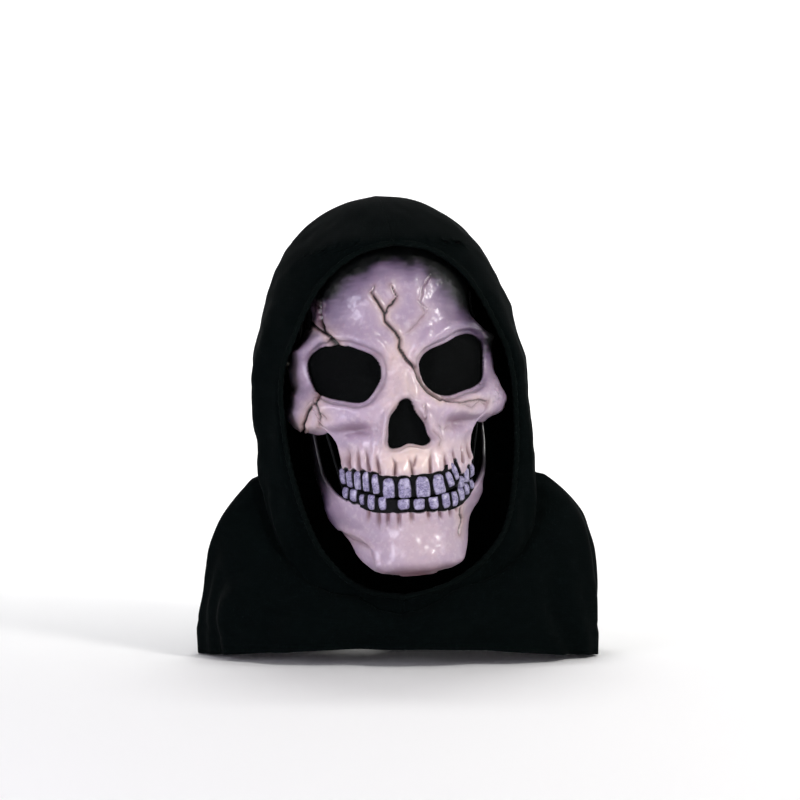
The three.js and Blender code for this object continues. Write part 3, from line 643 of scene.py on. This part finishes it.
hood = {
    "half": [(-190, 117), (-120, 120), (-75, 121), (-30, 121), (10, 121.5), (50, 116), (92, 104), (120, 91),
             (143, 73), (160, 51), (170, 28), (175, 0.2)],
    "front": [(-190, 75), (-140, 80), (-80, 84), (0, 84), (50, 88), (92, 94), (122, 93), (143, 75),
              (160, 50), (170, 26), (175, 0.2)],
    "back": [(-190, 112), (-80, 116), (-20, 124), (40, 132), (92, 126), (122, 108), (143, 86), (160, 58),
             (170, 31), (175, 0.2)],
    # half the width of the face opening
    "opening": [(-170, 0), (-164, 30), (-148, 58), (-120, 81), (-80, 93), (-40, 99), (0, 100.5), (28, 97),
                (50, 88), (90, 66), (104, 53), (114, 39), (120, 26), (123, 14), (124.2, 0)],
    "top": 174.98, "neckFront": -187, "neckSide": -80, "rightNeckLift": 18, "thick": 1.4,
    "casing": 2.3,
}
cape = {"shift": 7, "slope": 0.062, "hemHalf": 176, "hemFront": 97, "hemBack": 136, "hemHeight": -211,
        "hemDip": 15, "shoulderDrop": 0.25, "sideSeam": 0.46, "hemTurn": 0.09, "tuck": 5}


def wearCloth(points, atNeck=1.0):  # the hood turns with the head, the hem hangs square
    share = smoothStep(points[..., 2], -205, -110)
    low = points.copy()
    low[..., 2] += cape["slope"] * low[..., 0] * (1 - share) * atNeck
    worn = headToWorld(low, share)
    worn[..., 0] += cape["shift"] * (1 - share)
    return worn


def hoodPlace(u, v, side=1):  # u from the face opening to the back seam, v from the neck to the crown
    neckSide = hood["neckSide"] + hood["rightNeckLift"] * (np.asarray(side) < 0) * np.sin(math.pi * u) ** 2
    bottom = hood["neckFront"] + (neckSide - hood["neckFront"]) * smoothStep(u, 0, 0.42)
    rise = smoothCurve([(0, 0), (0.45, 0.38), (0.7, 0.69), (0.833, 0.863), (0.93, 0.957), (1, 1)])(v)
    z = bottom + (hood["top"] - bottom) * rise
    half = smoothCurve(hood["half"])(z)
    start = np.arcsin(np.clip(smoothCurve(hood["opening"])(z) / half, 0, 1))
    angle = math.pi * u + start * (1 - u) ** 2
    x, y = section(angle, half, smoothCurve(hood["front"])(z), smoothCurve(hood["back"])(z), 1.0)
    return np.stack((x, y, z), -1), angle


def hoodFolds(angle, z, side):  # soft folds that fall from the crown and gather at the neck
    low = smoothStep(z, 120, -70)
    flow = angle * 7.0 + side * 0.9 + 0.5 * unevenness(angle * 30, z, 34, 41)
    folds = 3.6 * low * np.sin(flow) + 2.0 * low * np.sin(2.3 * flow + 1.1 + z / 60)
    gather = 2.5 * smoothStep(z, -40, -80) * np.sin(angle * 24 + side)
    slack = 2.4 * unevenness(angle * 45 * side, z, 26, 43) + 0.7 * unevenness(angle * 60, z, 9, 44)
    return folds + gather * smoothStep(angle, 0.9, 1.4) + slack


def clothMesh(name, outer, thick):  # thick is one number, or one for each grid point
    depth = np.broadcast_to(thick, outer.shape[:2])[..., None]
    points, faces, _ = shellFromGrid(outer, outer - smoothed(gridNormals(outer), 2) * depth)
    return meshObject(name, points, faces)


def sewHood():
    columns, rows = ((110, 120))
    u, v = np.meshgrid(np.linspace(0, 1, columns) ** 1.15, np.linspace(0, 1, rows))
    sides = []
    for side in (-1, 1):
        place, angle = hoodPlace(u, v, side)
        normal = gridNormals(place)
        normal = np.where(np.isfinite(normal), normal, 0)
        seam = smoothStep(math.pi - angle, 0, 0.06) * smoothStep(angle, 0, 0.06)
        crown = smoothStep(place[..., 2], 172, 150)
        fold = hoodFolds(angle, place[..., 2], side) * crown * (0.35 + 0.65 * seam)
        fold -= 2.0 * (1 - seam) * crown
        edge = smoothStep(u, 0, 0.05) * (0.12 + 0.88 * smoothStep(v, 0, 0.16))
        place = place + normal * (fold * edge)[..., None]
        place[..., 0] *= side
        worn = wearCloth(place)
        sides.append(worn if side > 0 else worn[:, ::-1])
    print("hood")
    return sides


hoodRight, hoodLeft = (clothMesh(name, cloth, hood["thick"])
                       for name, cloth in zip(("hoodRightPanel", "hoodLeftPanel"), sewHood()))


def capePlace(u, down, side):  # down is 1 at the neck seam and 0 at the hem
    neck, _ = hoodPlace(u, np.zeros_like(u), side)
    half = smoothCurve(hood["half"])(neck[..., 2])
    depth = np.where(neck[..., 1] > 0, smoothCurve(hood["back"])(neck[..., 2]),
                     smoothCurve(hood["front"])(neck[..., 2]))
    angle = np.arctan2(neck[..., 0] / half, -neck[..., 1] / depth)
    x, y = section(angle, cape["hemHalf"], cape["hemFront"], cape["hemBack"], 1.0)
    hem = np.stack((x, y, cape["hemHeight"] - cape["hemDip"] * np.sin(angle) ** 2), -1)
    neck[..., 2] += cape["tuck"]  # the cape is sewn inside the hood
    corner = hem.copy()  # the point of the shoulder
    corner[..., 2] = neck[..., 2] + cape["shoulderDrop"] * (hem[..., 2] - neck[..., 2])
    sharp = (0.72 + 0.18 * np.sin(angle) ** 4)[..., None]
    shoulder = neck + (corner - neck) * sharp
    arm = hem + (corner - hem) * sharp
    t = down[..., None]
    return ((1 - t) ** 3 * hem + 3 * (1 - t) ** 2 * t * arm + 3 * (1 - t) * t * t * shoulder
            + t ** 3 * neck), angle


def sewCape():
    columns, rows = ((240, 70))
    s, v = np.meshgrid(np.linspace(-1, 1, columns), np.linspace(0, 1, rows))
    side = np.where(s < 0, -1.0, 1.0)
    u = np.abs(s)
    place, angle = capePlace(u, v, side)
    turn = angle * side
    fall = smoothStep(v, 1.0, 0.25)
    flow = 11 * turn + 1.6 * unevenness(turn * 40, v * 60, 30, 61)
    fold = fall * (3.2 * np.sin(flow) + 1.6 * np.sin(2.1 * flow + 0.7))
    fold += 1.6 * fall * unevenness(turn * 60, v * 140, 17, 62)
    gather = smoothStep(v, 0.8, 0.97) * np.sin(turn * 46 + 2 * unevenness(turn * 30, v, 9, 63))
    seam = np.exp(-((u - cape["sideSeam"]) / 0.006) ** 2)
    turned = smoothStep(v, cape["hemTurn"], 0.8 * cape["hemTurn"])
    stitches = np.exp(-((v - 1.12 * cape["hemTurn"]) / 0.009) ** 2)
    place[..., 0] *= side
    tucked = 2.6 * smoothStep(v, 0.93, 0.985)
    lift = fold - 3.0 * fall + 0.5 * gather - tucked - 1.2 * seam + 0.6 * turned - 0.5 * stitches
    place += gridNormals(place) * lift[..., None]
    return wearCloth(place, v * (2 - v)), hood["thick"] + 0.8 * turned


capeCloth = clothMesh("shoulderCape", *sewCape())


def sewFaceHem(name, side):  # half the gathered casing round the face opening, with the elastic in it
    turns, steps = 12, 300
    v = np.linspace(0.052, 0.836, steps)
    place, _ = hoodPlace(np.zeros_like(v), v)
    place[..., 0] *= side
    path = wearCloth(place)
    forward = np.gradient(path, axis=0)
    forward /= np.linalg.norm(forward, axis=1, keepdims=True)
    outward = path - path.mean(axis=0) * np.array((0, 1, 1))
    outward -= (outward * forward).sum(1, keepdims=True) * forward
    outward /= np.linalg.norm(outward, axis=1, keepdims=True)
    sideways = np.cross(forward, outward)
    around = np.linspace(0, 2 * math.pi, turns, endpoint=False)
    k = np.arange(steps) * 300 / steps
    radius = hood["casing"] * (1 + 0.13 * np.sin(k * 0.9) + 0.08 * np.sin(k * 2.3 + side))[:, None, None]
    points = path[:, None] + radius * (np.cos(around)[None, :, None] * outward[:, None]
                                       + 0.8 * np.sin(around)[None, :, None] * sideways[:, None])
    piece = meshObject(name, points.reshape(-1, 3), tubeFaces(steps, turns))
    bm = bmesh.new()
    bm.from_mesh(piece.data)
    bmesh.ops.holes_fill(bm, edges=[edge for edge in bm.edges if edge.is_boundary])
    bmesh.ops.recalc_face_normals(bm, faces=bm.faces)
    bm.to_mesh(piece.data)
    bm.free()
    return piece


faceHems = {side: sewFaceHem("faceOpeningHem" + side, way) for side, way in (("Right", -1), ("Left", 1))}
print("cloth")


harness = {"half": 81.4, "reach": 98, "width": 25, "middle": 34, "thick": 1.6, "rib": 2.4,
           "crown": [(-62, 126), (-50, 138), (-20, 151), (22, 152), (62, 132), (88, 96), (97, 60)]}


def woven(name, along, across, place, share=1.0):  # ribbed elastic over a grid of places; u runs along it
    u, v = np.meshgrid(np.linspace(0, 1, along), np.linspace(0, 1, across))
    outer = place(u, v)
    length = np.linalg.norm(np.diff(outer, axis=1), axis=-1).mean(axis=0).sum()
    ribs = 0.16 * np.sin(u * length / harness["rib"] * 2 * math.pi)
    selvage = 0.2 * smoothStep(np.abs(v - 0.5), 0.42, 0.46)
    sewn = 0.5 * (np.exp(-((u - 0.035) / 0.006) ** 2) + np.exp(-((u - 0.965) / 0.006) ** 2))
    normal = gridNormals(outer)
    top = outer + normal * (ribs + selvage - sewn)[..., None]
    under = outer - normal * (harness["thick"] * share + ribs)[..., None]
    points, faces, _ = shellFromGrid(top, under)
    return meshObject(name, headToWorld(points), faces)


def strapPlace(fromDegrees, toDegrees, low, high, grow=1.0):
    def place(u, v):
        x, y = section(np.radians(fromDegrees + (toDegrees - fromDegrees) * u), harness["half"] * grow,
                       harness["reach"] * grow, harness["reach"] * grow, 1.0)
        return np.stack((x, y, low + (high - low) * v), -1)
    return place


def crownPlace(u, v):
    line = smoothLine(harness["crown"], u.shape[1])
    y, z = np.broadcast_to(line[:, 0], u.shape), np.broadcast_to(line[:, 1], u.shape)
    return np.stack((harness["width"] * (v - 0.5), y, z), -1)


def bandPlace(side):
    def place(u, v):
        return np.stack((side * (50 + 15 * u), -52 + side * 10 * (v - 0.5), -96 + 72 * u), -1)
    return place


# section angles and heights of the hook tapes
tabs = {"hoodTab": (68, 78, 60, 84), "crownTab": (12, 28, 124, 135), "standoff": 2.2}


def tabPlace(name, side):  # hook tape on the outside of the skull, that the hood is pressed onto
    first, last, bottom, top = tabs[name]
    degrees = (first, last) if side > 0 else (-last, -first)

    def place(u, v):
        across = degrees[0] + (degrees[1] - degrees[0]) * u
        surface = mouldedSurface(face, across, bottom + (top - bottom) * v)
        return surface + gridNormals(surface) * tabs["standoff"]
    return place


pads = {
    "browPad": {"casting": face, "degrees": (-15, 15), "heights": (62, 88), "thick": 10.5,
                "node": "brow_pad", "body": "mask"},
    "templePadRight": {"casting": face, "degrees": (-74, -57), "heights": (59, 83), "thick": 7.5,
                       "node": "temple_pad_right", "body": "mask"},
    "templePadLeft": {"casting": face, "degrees": (57, 74), "heights": (59, 83), "thick": 7.5,
                      "node": "temple_pad_left", "body": "mask"},
    "chinPad": {"casting": jaw, "degrees": (-30, 30), "heights": (-139, -113), "thick": 8.0,
                "node": "chin_pad", "body": "jaw"},
}
padEdge, padGap = 1.2, 0.8  # thickness at the rim, and the glue line


def foamPad(name, pad):  # a crowned pad bonded inside the casting
    (first, last), (low, high) = pad["degrees"], pad["heights"]
    columns, rows = ((64, 32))
    u, v = np.meshgrid(np.linspace(-1, 1, columns), np.linspace(-1, 1, rows))
    pinch = 1 - 0.07 * (1 - v * v)
    middle, half = (first + last) / 2, (last - first) / 2
    z = (low + high) / 2 + (high - low) / 2 * v * (1 - 0.06 * (1 - u * u))
    surface = mouldedSurface(pad["casting"], middle + half * u * pinch, z)
    normal = smoothed(gridNormals(surface), 6)
    outer = surface - normal * (skullGrid["wall"] + padGap)
    crown = ((1 - np.abs(u) ** 5) * (1 - np.abs(v) ** 4)) ** 0.42
    welt = 0.5 * np.exp(-((np.maximum(np.abs(u), np.abs(v)) - 0.86) / 0.03) ** 2)
    inner = outer - normal * (padEdge + (pad["thick"] - padEdge) * crown - welt)[..., None]
    points, faces, _ = shellFromGrid(outer, inner)
    return meshObject(name, headToWorld(points), faces)


bandEdges = harness["middle"] - harness["width"] / 2, harness["middle"] + harness["width"] / 2
patchEdges = harness["middle"] - 18, harness["middle"] + 36
straps = {
    "side_strap_right": woven("sideElasticRight", 140, 9, strapPlace(-171, -84, *bandEdges)),
    "side_strap_left": woven("sideElasticLeft", 140, 9, strapPlace(84, 171, *bandEdges)),
    "crown_strap": woven("crownElastic", 220, 9, crownPlace),
    "back_patch": woven("backPatch", 60, 12, strapPlace(163, 197, *patchEdges, 1.03)),
}
jawBands = {side: woven("jawBand" + side.capitalize(), 80, 7, bandPlace(way), 0.75)
            for side, way in (("right", -1), ("left", 1))}
hookTabs = {(name, side): woven(name + side, 40, 24, tabPlace(name, way), 0.9)
            for name in ("hoodTab", "crownTab") for side, way in (("Right", -1), ("Left", 1))}
foamPads = {name: foamPad(name, pad) for name, pad in pads.items()}
print("harness and pads")


def hexColour(code):
    parts = [int(code[i:i + 2], 16) / 255 for i in (1, 3, 5)]
    return tuple(c / 12.92 if c <= 0.04045 else ((c + 0.055) / 1.055) ** 2.4 for c in parts) + (1.0,)


def newMaterial(name):
    material = bpy.data.materials.new(name)
    material.use_nodes = True
    material.node_tree.nodes.clear()
    return material, material.node_tree


def add(tree, kind, links=None, **settings):  # one node, its settings and what is plugged into it
    node = tree.nodes.new(kind)
    for key, value in settings.items():
        setattr(node, key, value)
    for socket, value in (links or {}).items():
        if isinstance(value, bpy.types.NodeSocket):
            tree.links.new(value, node.inputs[socket])
        else:
            node.inputs[socket].default_value = value
    return node


def paintedLatex():
    # Slip-cast natural latex with airbrushed latex paint and a clear satin coat.
    material, tree = newMaterial("castLatexBonePaint")
    place = add(tree, "ShaderNodeTexCoord").outputs["Object"]
    brushed = add(tree, "ShaderNodeAttribute", attribute_name="paint")
    channels = add(tree, "ShaderNodeSeparateColor", {"Color": brushed.outputs["Color"]})
    black, purple, warm = channels.outputs
    clouds = add(tree, "ShaderNodeTexNoise", {"Vector": place, "Scale": 1 / (24 * mm), "Detail": 4.0})
    grain = add(tree, "ShaderNodeTexNoise", {"Vector": place, "Scale": 1 / (4 * mm), "Detail": 5.0})
    pores = add(tree, "ShaderNodeTexNoise", {"Vector": place, "Scale": 1 / (0.9 * mm), "Detail": 3.0})
    spatter = add(tree, "ShaderNodeTexVoronoi", {"Vector": place, "Scale": 1 / (5 * mm)})
    ranges = (  # what is read, its two limits, and what they become
        (clouds.outputs["Fac"], 0.44, 0.66, 0.0, 0.5), (grain.outputs["Fac"], 0.5, 0.75, 0.0, 0.35),
        (spatter.outputs["Distance"], 0.09, 0.04, 0.0, 0.3), (grain.outputs["Fac"], 0.3, 0.7, 0.36, 0.5))
    limits = ("Value", "From Min", "From Max", "To Min", "To Max")
    mottle, fine, fleck, rough = (add(tree, "ShaderNodeMapRange", dict(zip(limits, each))).outputs["Result"]
                                  for each in ranges)
    # The purple, rust and black layers also carry painted shade: under the cheekbones and chin, over the
    # brow and round the holes.
    colour = hexColour("#B29DB3")
    for factor, over in ((warm, "#DAC2BD"), (mottle, "#A792AC"), (fine, "#E2D1D6"), (fleck, "#6A5361"),
                         (purple, "#5D4A69"), (brushed.outputs["Alpha"], "#6B4346"), (black, "#040606")):
        mix = add(tree, "ShaderNodeMix", {0: factor, 6: colour, 7: hexColour(over)}, data_type="RGBA")
        colour = mix.outputs[2]
    bump = add(tree, "ShaderNodeBump", {"Height": pores.outputs["Fac"], "Strength": 0.3,
                                        "Distance": 0.15 * mm})
    shader = add(tree, "ShaderNodeBsdfPrincipled", {
        "Base Color": colour, "Roughness": rough, "Normal": bump.outputs["Normal"], "IOR": 1.52,
        "Subsurface Weight": 0.08, "Subsurface Scale": 1.5 * mm, "Coat Weight": 0.5,
        "Coat Roughness": 0.24})
    add(tree, "ShaderNodeOutputMaterial", {"Surface": shader.outputs[0]})
    return material


def toothPaint():
    # Latex teeth with a thin lavender-grey wash over speckled primer: patchy colour, satin.
    material, tree = newMaterial("toothWashOnLatex")
    place = add(tree, "ShaderNodeTexCoord").outputs["Object"]
    speckles = add(tree, "ShaderNodeTexNoise", {"Vector": place, "Scale": 1 / (1.3 * mm), "Detail": 5.0,
                                                "Roughness": 0.7})
    patches = add(tree, "ShaderNodeTexNoise", {"Vector": place, "Scale": 1 / (4.5 * mm), "Detail": 3.0})
    spots = add(tree, "ShaderNodeMapRange", {"Value": speckles.outputs["Fac"], "From Min": 0.36,
                                             "From Max": 0.66})
    pale = add(tree, "ShaderNodeMapRange", {"Value": patches.outputs["Fac"], "From Min": 0.45,
                                            "From Max": 0.7, "To Max": 0.6})
    # The near-black outline read from the mesh is painted shade between and round the teeth.
    outline = add(tree, "ShaderNodeAttribute", attribute_name="paint")
    toothGapShade = add(tree, "ShaderNodeSeparateColor", {"Color": outline.outputs["Color"]}).outputs[0]
    colour = hexColour("#4A4263")
    for factor, over in ((spots.outputs["Result"], "#A199C0"), (pale.outputs["Result"], "#CBC4DE"),
                         (toothGapShade, "#050507")):
        mix = add(tree, "ShaderNodeMix", {0: factor, 6: colour, 7: hexColour(over)}, data_type="RGBA")
        colour = mix.outputs[2]
    bump = add(tree, "ShaderNodeBump", {"Height": speckles.outputs["Fac"], "Strength": 0.4,
                                        "Distance": 0.25 * mm})
    shader = add(tree, "ShaderNodeBsdfPrincipled", {
        "Base Color": colour, "Roughness": 0.38, "IOR": 1.52, "Normal": bump.outputs["Normal"],
        "Coat Weight": 0.2, "Coat Roughness": 0.2})
    add(tree, "ShaderNodeOutputMaterial", {"Surface": shader.outputs[0]})
    return material


def blackKnit(name, dark, light, thread):
    # Brushed polyester knit: matt black with a thin grazing sheen. The loops are drawn coarser than life.
    material, tree = newMaterial(name)
    place = add(tree, "ShaderNodeTexCoord").outputs["Object"]
    scale = 0.5 / (thread * mm) / 3.2
    loops = add(tree, "ShaderNodeTexWave", {"Vector": place, "Scale": scale, "Distortion": 1.5,
                                            "Detail": 1.0, "Detail Scale": 2.0})
    cross = add(tree, "ShaderNodeTexWave", {"Vector": place, "Scale": scale, "Distortion": 1.0},
                bands_direction="Z")
    fuzz = add(tree, "ShaderNodeTexNoise", {"Vector": place, "Scale": 1 / (2 * mm), "Detail": 4.0})
    weave = add(tree, "ShaderNodeMath", {0: loops.outputs["Fac"], 1: cross.outputs["Fac"]},
                operation="MULTIPLY")
    mix = add(tree, "ShaderNodeMix", {0: fuzz.outputs["Fac"], 6: hexColour(dark), 7: hexColour(light)},
              data_type="RGBA")
    bump = add(tree, "ShaderNodeBump", {"Height": weave.outputs["Value"], "Strength": 0.35,
                                        "Distance": 0.3 * mm})
    shader = add(tree, "ShaderNodeBsdfPrincipled", {
        "Base Color": mix.outputs[2], "Roughness": 0.92, "IOR": 1.45, "Specular IOR Level": 0.04,
        "Normal": bump.outputs["Normal"], "Sheen Weight": 0.004, "Sheen Roughness": 0.4})
    add(tree, "ShaderNodeOutputMaterial", {"Surface": shader.outputs[0]})
    return material


def plainFinish(name, texture, pattern, tones, relief, surface,
                **settings):  # one texture for colour and relief
    material, tree = newMaterial(name)
    place = add(tree, "ShaderNodeTexCoord").outputs["Object"]
    drawn = add(tree, texture, {"Vector": place, **pattern}, **settings)
    height = drawn.outputs["Distance" if texture == "ShaderNodeTexVoronoi" else "Fac"]
    mix = add(tree, "ShaderNodeMix", {0: height, 6: hexColour(tones[0]), 7: hexColour(tones[1])},
              data_type="RGBA")
    bump = add(tree, "ShaderNodeBump", {"Height": height, "Strength": relief[0],
                                        "Distance": relief[1] * mm})
    shader = add(tree, "ShaderNodeBsdfPrincipled", {"Base Color": mix.outputs[2],
                                                    "Normal": bump.outputs["Normal"], **surface})
    add(tree, "ShaderNodeOutputMaterial", {"Surface": shader.outputs[0]})
    return material


def nickelPlate():
    # Nickel plated steel, lightly scuffed by the cloth.
    material, tree = newMaterial("nickelPlatedSteel")
    place = add(tree, "ShaderNodeTexCoord").outputs["Object"]
    scuffs = add(tree, "ShaderNodeTexNoise", {"Vector": place, "Scale": 1 / (0.8 * mm), "Detail": 6.0})
    rough = add(tree, "ShaderNodeMapRange", {"Value": scuffs.outputs["Fac"], "To Min": 0.18,
                                             "To Max": 0.42})
    mix = add(tree, "ShaderNodeMix", {0: scuffs.outputs["Fac"], 6: hexColour("#A8A29A"),
                                      7: hexColour("#CFCAC2")}, data_type="RGBA")
    shader = add(tree, "ShaderNodeBsdfPrincipled", {"Base Color": mix.outputs[2], "Metallic": 1.0,
                                                    "Roughness": rough.outputs["Result"]})
    add(tree, "ShaderNodeOutputMaterial", {"Surface": shader.outputs[0]})
    return material


def studioPaper():
    material, tree = newMaterial("palePaper")
    shader = add(tree, "ShaderNodeBsdfPrincipled", {"Base Color": hexColour("#F4F4F4"), "Roughness": 0.9})
    add(tree, "ShaderNodeOutputMaterial", {"Surface": shader.outputs[0]})
    return material


def give(piece, *materials):
    piece.data.materials.clear()
    for material in materials:
        piece.data.materials.append(material)


latex, tooth, nickel = paintedLatex(), toothPaint(), nickelPlate()
knit = blackKnit("blackPolyesterKnit", "#010303", "#040A0A", 1.1)
hemKnit = blackKnit("blackHemKnit", "#020505", "#080E0D", 0.9)
# thick black latex paint, brushed round each tooth
gum = plainFinish("blackGumPaint", "ShaderNodeTexNoise", {"Scale": 1 / (2.5 * mm), "Detail": 3.0},
                  ("#010102", "#06070A"), (0.5, 0.4),
                  {"Roughness": 0.6, "IOR": 1.5, "Specular IOR Level": 0.12})
# nylon gauze glued behind the holes: almost no light comes back
nylon = plainFinish("blackNylonGauze", "ShaderNodeTexVoronoi", {"Scale": 1 / (1.4 * mm)},
                    ("#010202", "#07090A"), (0.4, 0.2),
                    {"Roughness": 0.9, "IOR": 1.45, "Specular IOR Level": 0.1})
# woven elastic with ribs 1.5 mm apart across the band
elastic = plainFinish("blackWovenElastic", "ShaderNodeTexWave",
                      {"Scale": 1 / (1.5 * mm) / 6.283, "Distortion": 0.4}, ("#040506", "#0E1012"),
                      (0.6, 0.3), {"Roughness": 0.8, "IOR": 1.5, "Specular IOR Level": 0.2},
                      bands_direction="Z")
# closed-cell foam with cells about 1 mm across
foam = plainFinish("blackClosedCellFoam", "ShaderNodeTexVoronoi", {"Scale": 1 / (1.0 * mm)},
                   ("#101113", "#2C2D31"), (0.5, 0.3), {"Roughness": 0.85, "IOR": 1.45})

for piece in (skullFace, lowerJaw):
    give(piece, latex)
for piece, slots in ((upperTeeth, upperSlots), (lowerTeeth, lowerSlots)):
    give(piece, tooth, gum)
    piece.data.polygons.foreach_set("material_index", slots.astype(np.int32))
for piece in (hoodRight, hoodLeft, capeCloth):
    give(piece, knit)
for piece in faceHems.values():
    give(piece, hemKnit)
for piece in gauzePanels:
    give(piece, nylon)
for piece in [*straps.values(), *jawBands.values(), *hookTabs.values()]:
    give(piece, elastic)
for piece in foamPads.values():
    give(piece, foam)

nodeFinish = {"mesh": nylon, "foam": foam, "webbing": elastic, "metal": nickel, "cloth": knit,
              "bone": latex, "tooth": tooth}
slotOf = {part["node"]: part["material_slot"] for part in frame["record"]["subparts"]}
for name, node in frame["nodes"].items():
    give(node, nodeFinish[slotOf[name]])
print("materials")


def stand(piece, body, slot, *nodes):
    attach(piece, body)
    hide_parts(*nodes)


stand(skullFace, "mask", "bone", "skull_face")
stand(lowerJaw, "jaw", "bone", "lower_jaw")
stand(upperTeeth, "mask", "tooth", "upper_teeth")
stand(lowerTeeth, "jaw", "tooth", "lower_teeth")
stand(hoodRight, "mask", "cloth", "hood_right")
stand(hoodLeft, "mask", "cloth", "hood_left")
stand(capeCloth, "mask", "cloth", "cape_front", "cape_back")
for side, piece in faceHems.items():
    stand(piece, "mask", "cloth", "face_binding_" + side.lower())
for piece, node in zip(gauzePanels, ("eye_mesh_right", "eye_mesh_left", "nose_mesh")):
    stand(piece, "mask", "mesh", node)
for node, piece in straps.items():
    stand(piece, "mask", "webbing", node)
for (name, side), piece in hookTabs.items():
    stand(piece, "mask", "webbing", name.replace("Tab", "_tab_") + side.lower())
for side, piece in jawBands.items():
    place = bandPlace(-1 if side == "right" else 1)
    ends = headToWorld(place(np.array((1.0, 0.0)), np.array((0.5, 0.5)))) * mm
    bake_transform(piece)
    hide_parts("jaw_band_" + side)
for name, piece in foamPads.items():
    stand(piece, pads[name]["body"], "foam", pads[name]["node"])


def studio():  # a round pale floor that sweeps up into a wall on every side
    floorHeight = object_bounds()[0][2] - 0.001
    radius, wall, bend, turns = 3.4, 2.4, 0.9, 96
    sweep = [(radius - bend + bend * math.sin(a), bend - bend * math.cos(a))
             for a in np.linspace(0, math.pi / 2, 12)]
    profile = [(0.4, 0), (1.2, 0)] + sweep + [(radius, wall)]
    bm = bmesh.new()
    rings = [[bm.verts.new((r * math.cos(a), r * math.sin(a), floorHeight + z))
              for a in np.linspace(0, 2 * math.pi, turns, endpoint=False)] for r, z in profile]
    bm.faces.new(rings[0])
    for near, far in zip(rings, rings[1:]):
        for i in range(turns):
            bm.faces.new((near[i], far[i], far[(i + 1) % turns], near[(i + 1) % turns])).smooth = True
    mesh = bpy.data.meshes.new("studioFloor")
    bm.to_mesh(mesh)
    bm.free()
    floor = bpy.data.objects.new("studioFloor", mesh)
    bpy.context.collection.objects.link(floor)
    give(floor, studioPaper())


def light(name, place, target, size, power, tint):
    data = bpy.data.lights.new(name, "AREA")
    data.shape, data.size, data.energy, data.color = "DISK", size, power, hexColour(tint)[:3]
    lamp = bpy.data.objects.new(name, data)
    bpy.context.collection.objects.link(lamp)
    lamp.location = place
    aim = np.array(target) - np.array(place)
    yaw, pitch = math.atan2(aim[0], -aim[1]), math.atan2(-aim[2], math.hypot(aim[0], aim[1]))
    lamp.rotation_euler = (math.pi / 2 - pitch, 0, math.pi + yaw)


studio()
lamps = {  # place and aim in metres, size in metres, power in watts, tint
    "keySoftbox": ((1.15, -1.05, 0.85), (0, 0, 0), 0.4, 16.5, "#FFFDFA"),
    "fillSoftbox": ((-1.0, -1.15, 0.1), (0, 0, -0.02), 0.6, 9.5, "#F2EEFF"),
    "backdropWash": ((0, 1.2, 2.4), (0, 3.4, 0.4), 1.6, 90, "#FFFFFF"),
}
for name, lamp in lamps.items():
    light(name, *lamp)

view = {"lens": 81.95, "sensor": 36.0, "place": (0.007, -1.6, -0.005), "ambient": 0.3}

world = bpy.data.worlds.new("studioWorld")
bpy.context.scene.world = world
world.use_nodes = True
world.node_tree.nodes["Background"].inputs["Color"].default_value = (1, 1, 1, 1)
world.node_tree.nodes["Background"].inputs["Strength"].default_value = view["ambient"]
bpy.context.scene.view_settings.view_transform = "Standard"

cameraData = bpy.data.cameras.new("camera")
cameraData.lens, cameraData.sensor_width = view["lens"], view["sensor"]
camera = bpy.data.objects.new("camera", cameraData)
camera.location = view["place"]
camera.rotation_euler = (math.pi / 2, 0, 0)
bpy.context.collection.objects.link(camera)
bpy.context.scene.camera = camera
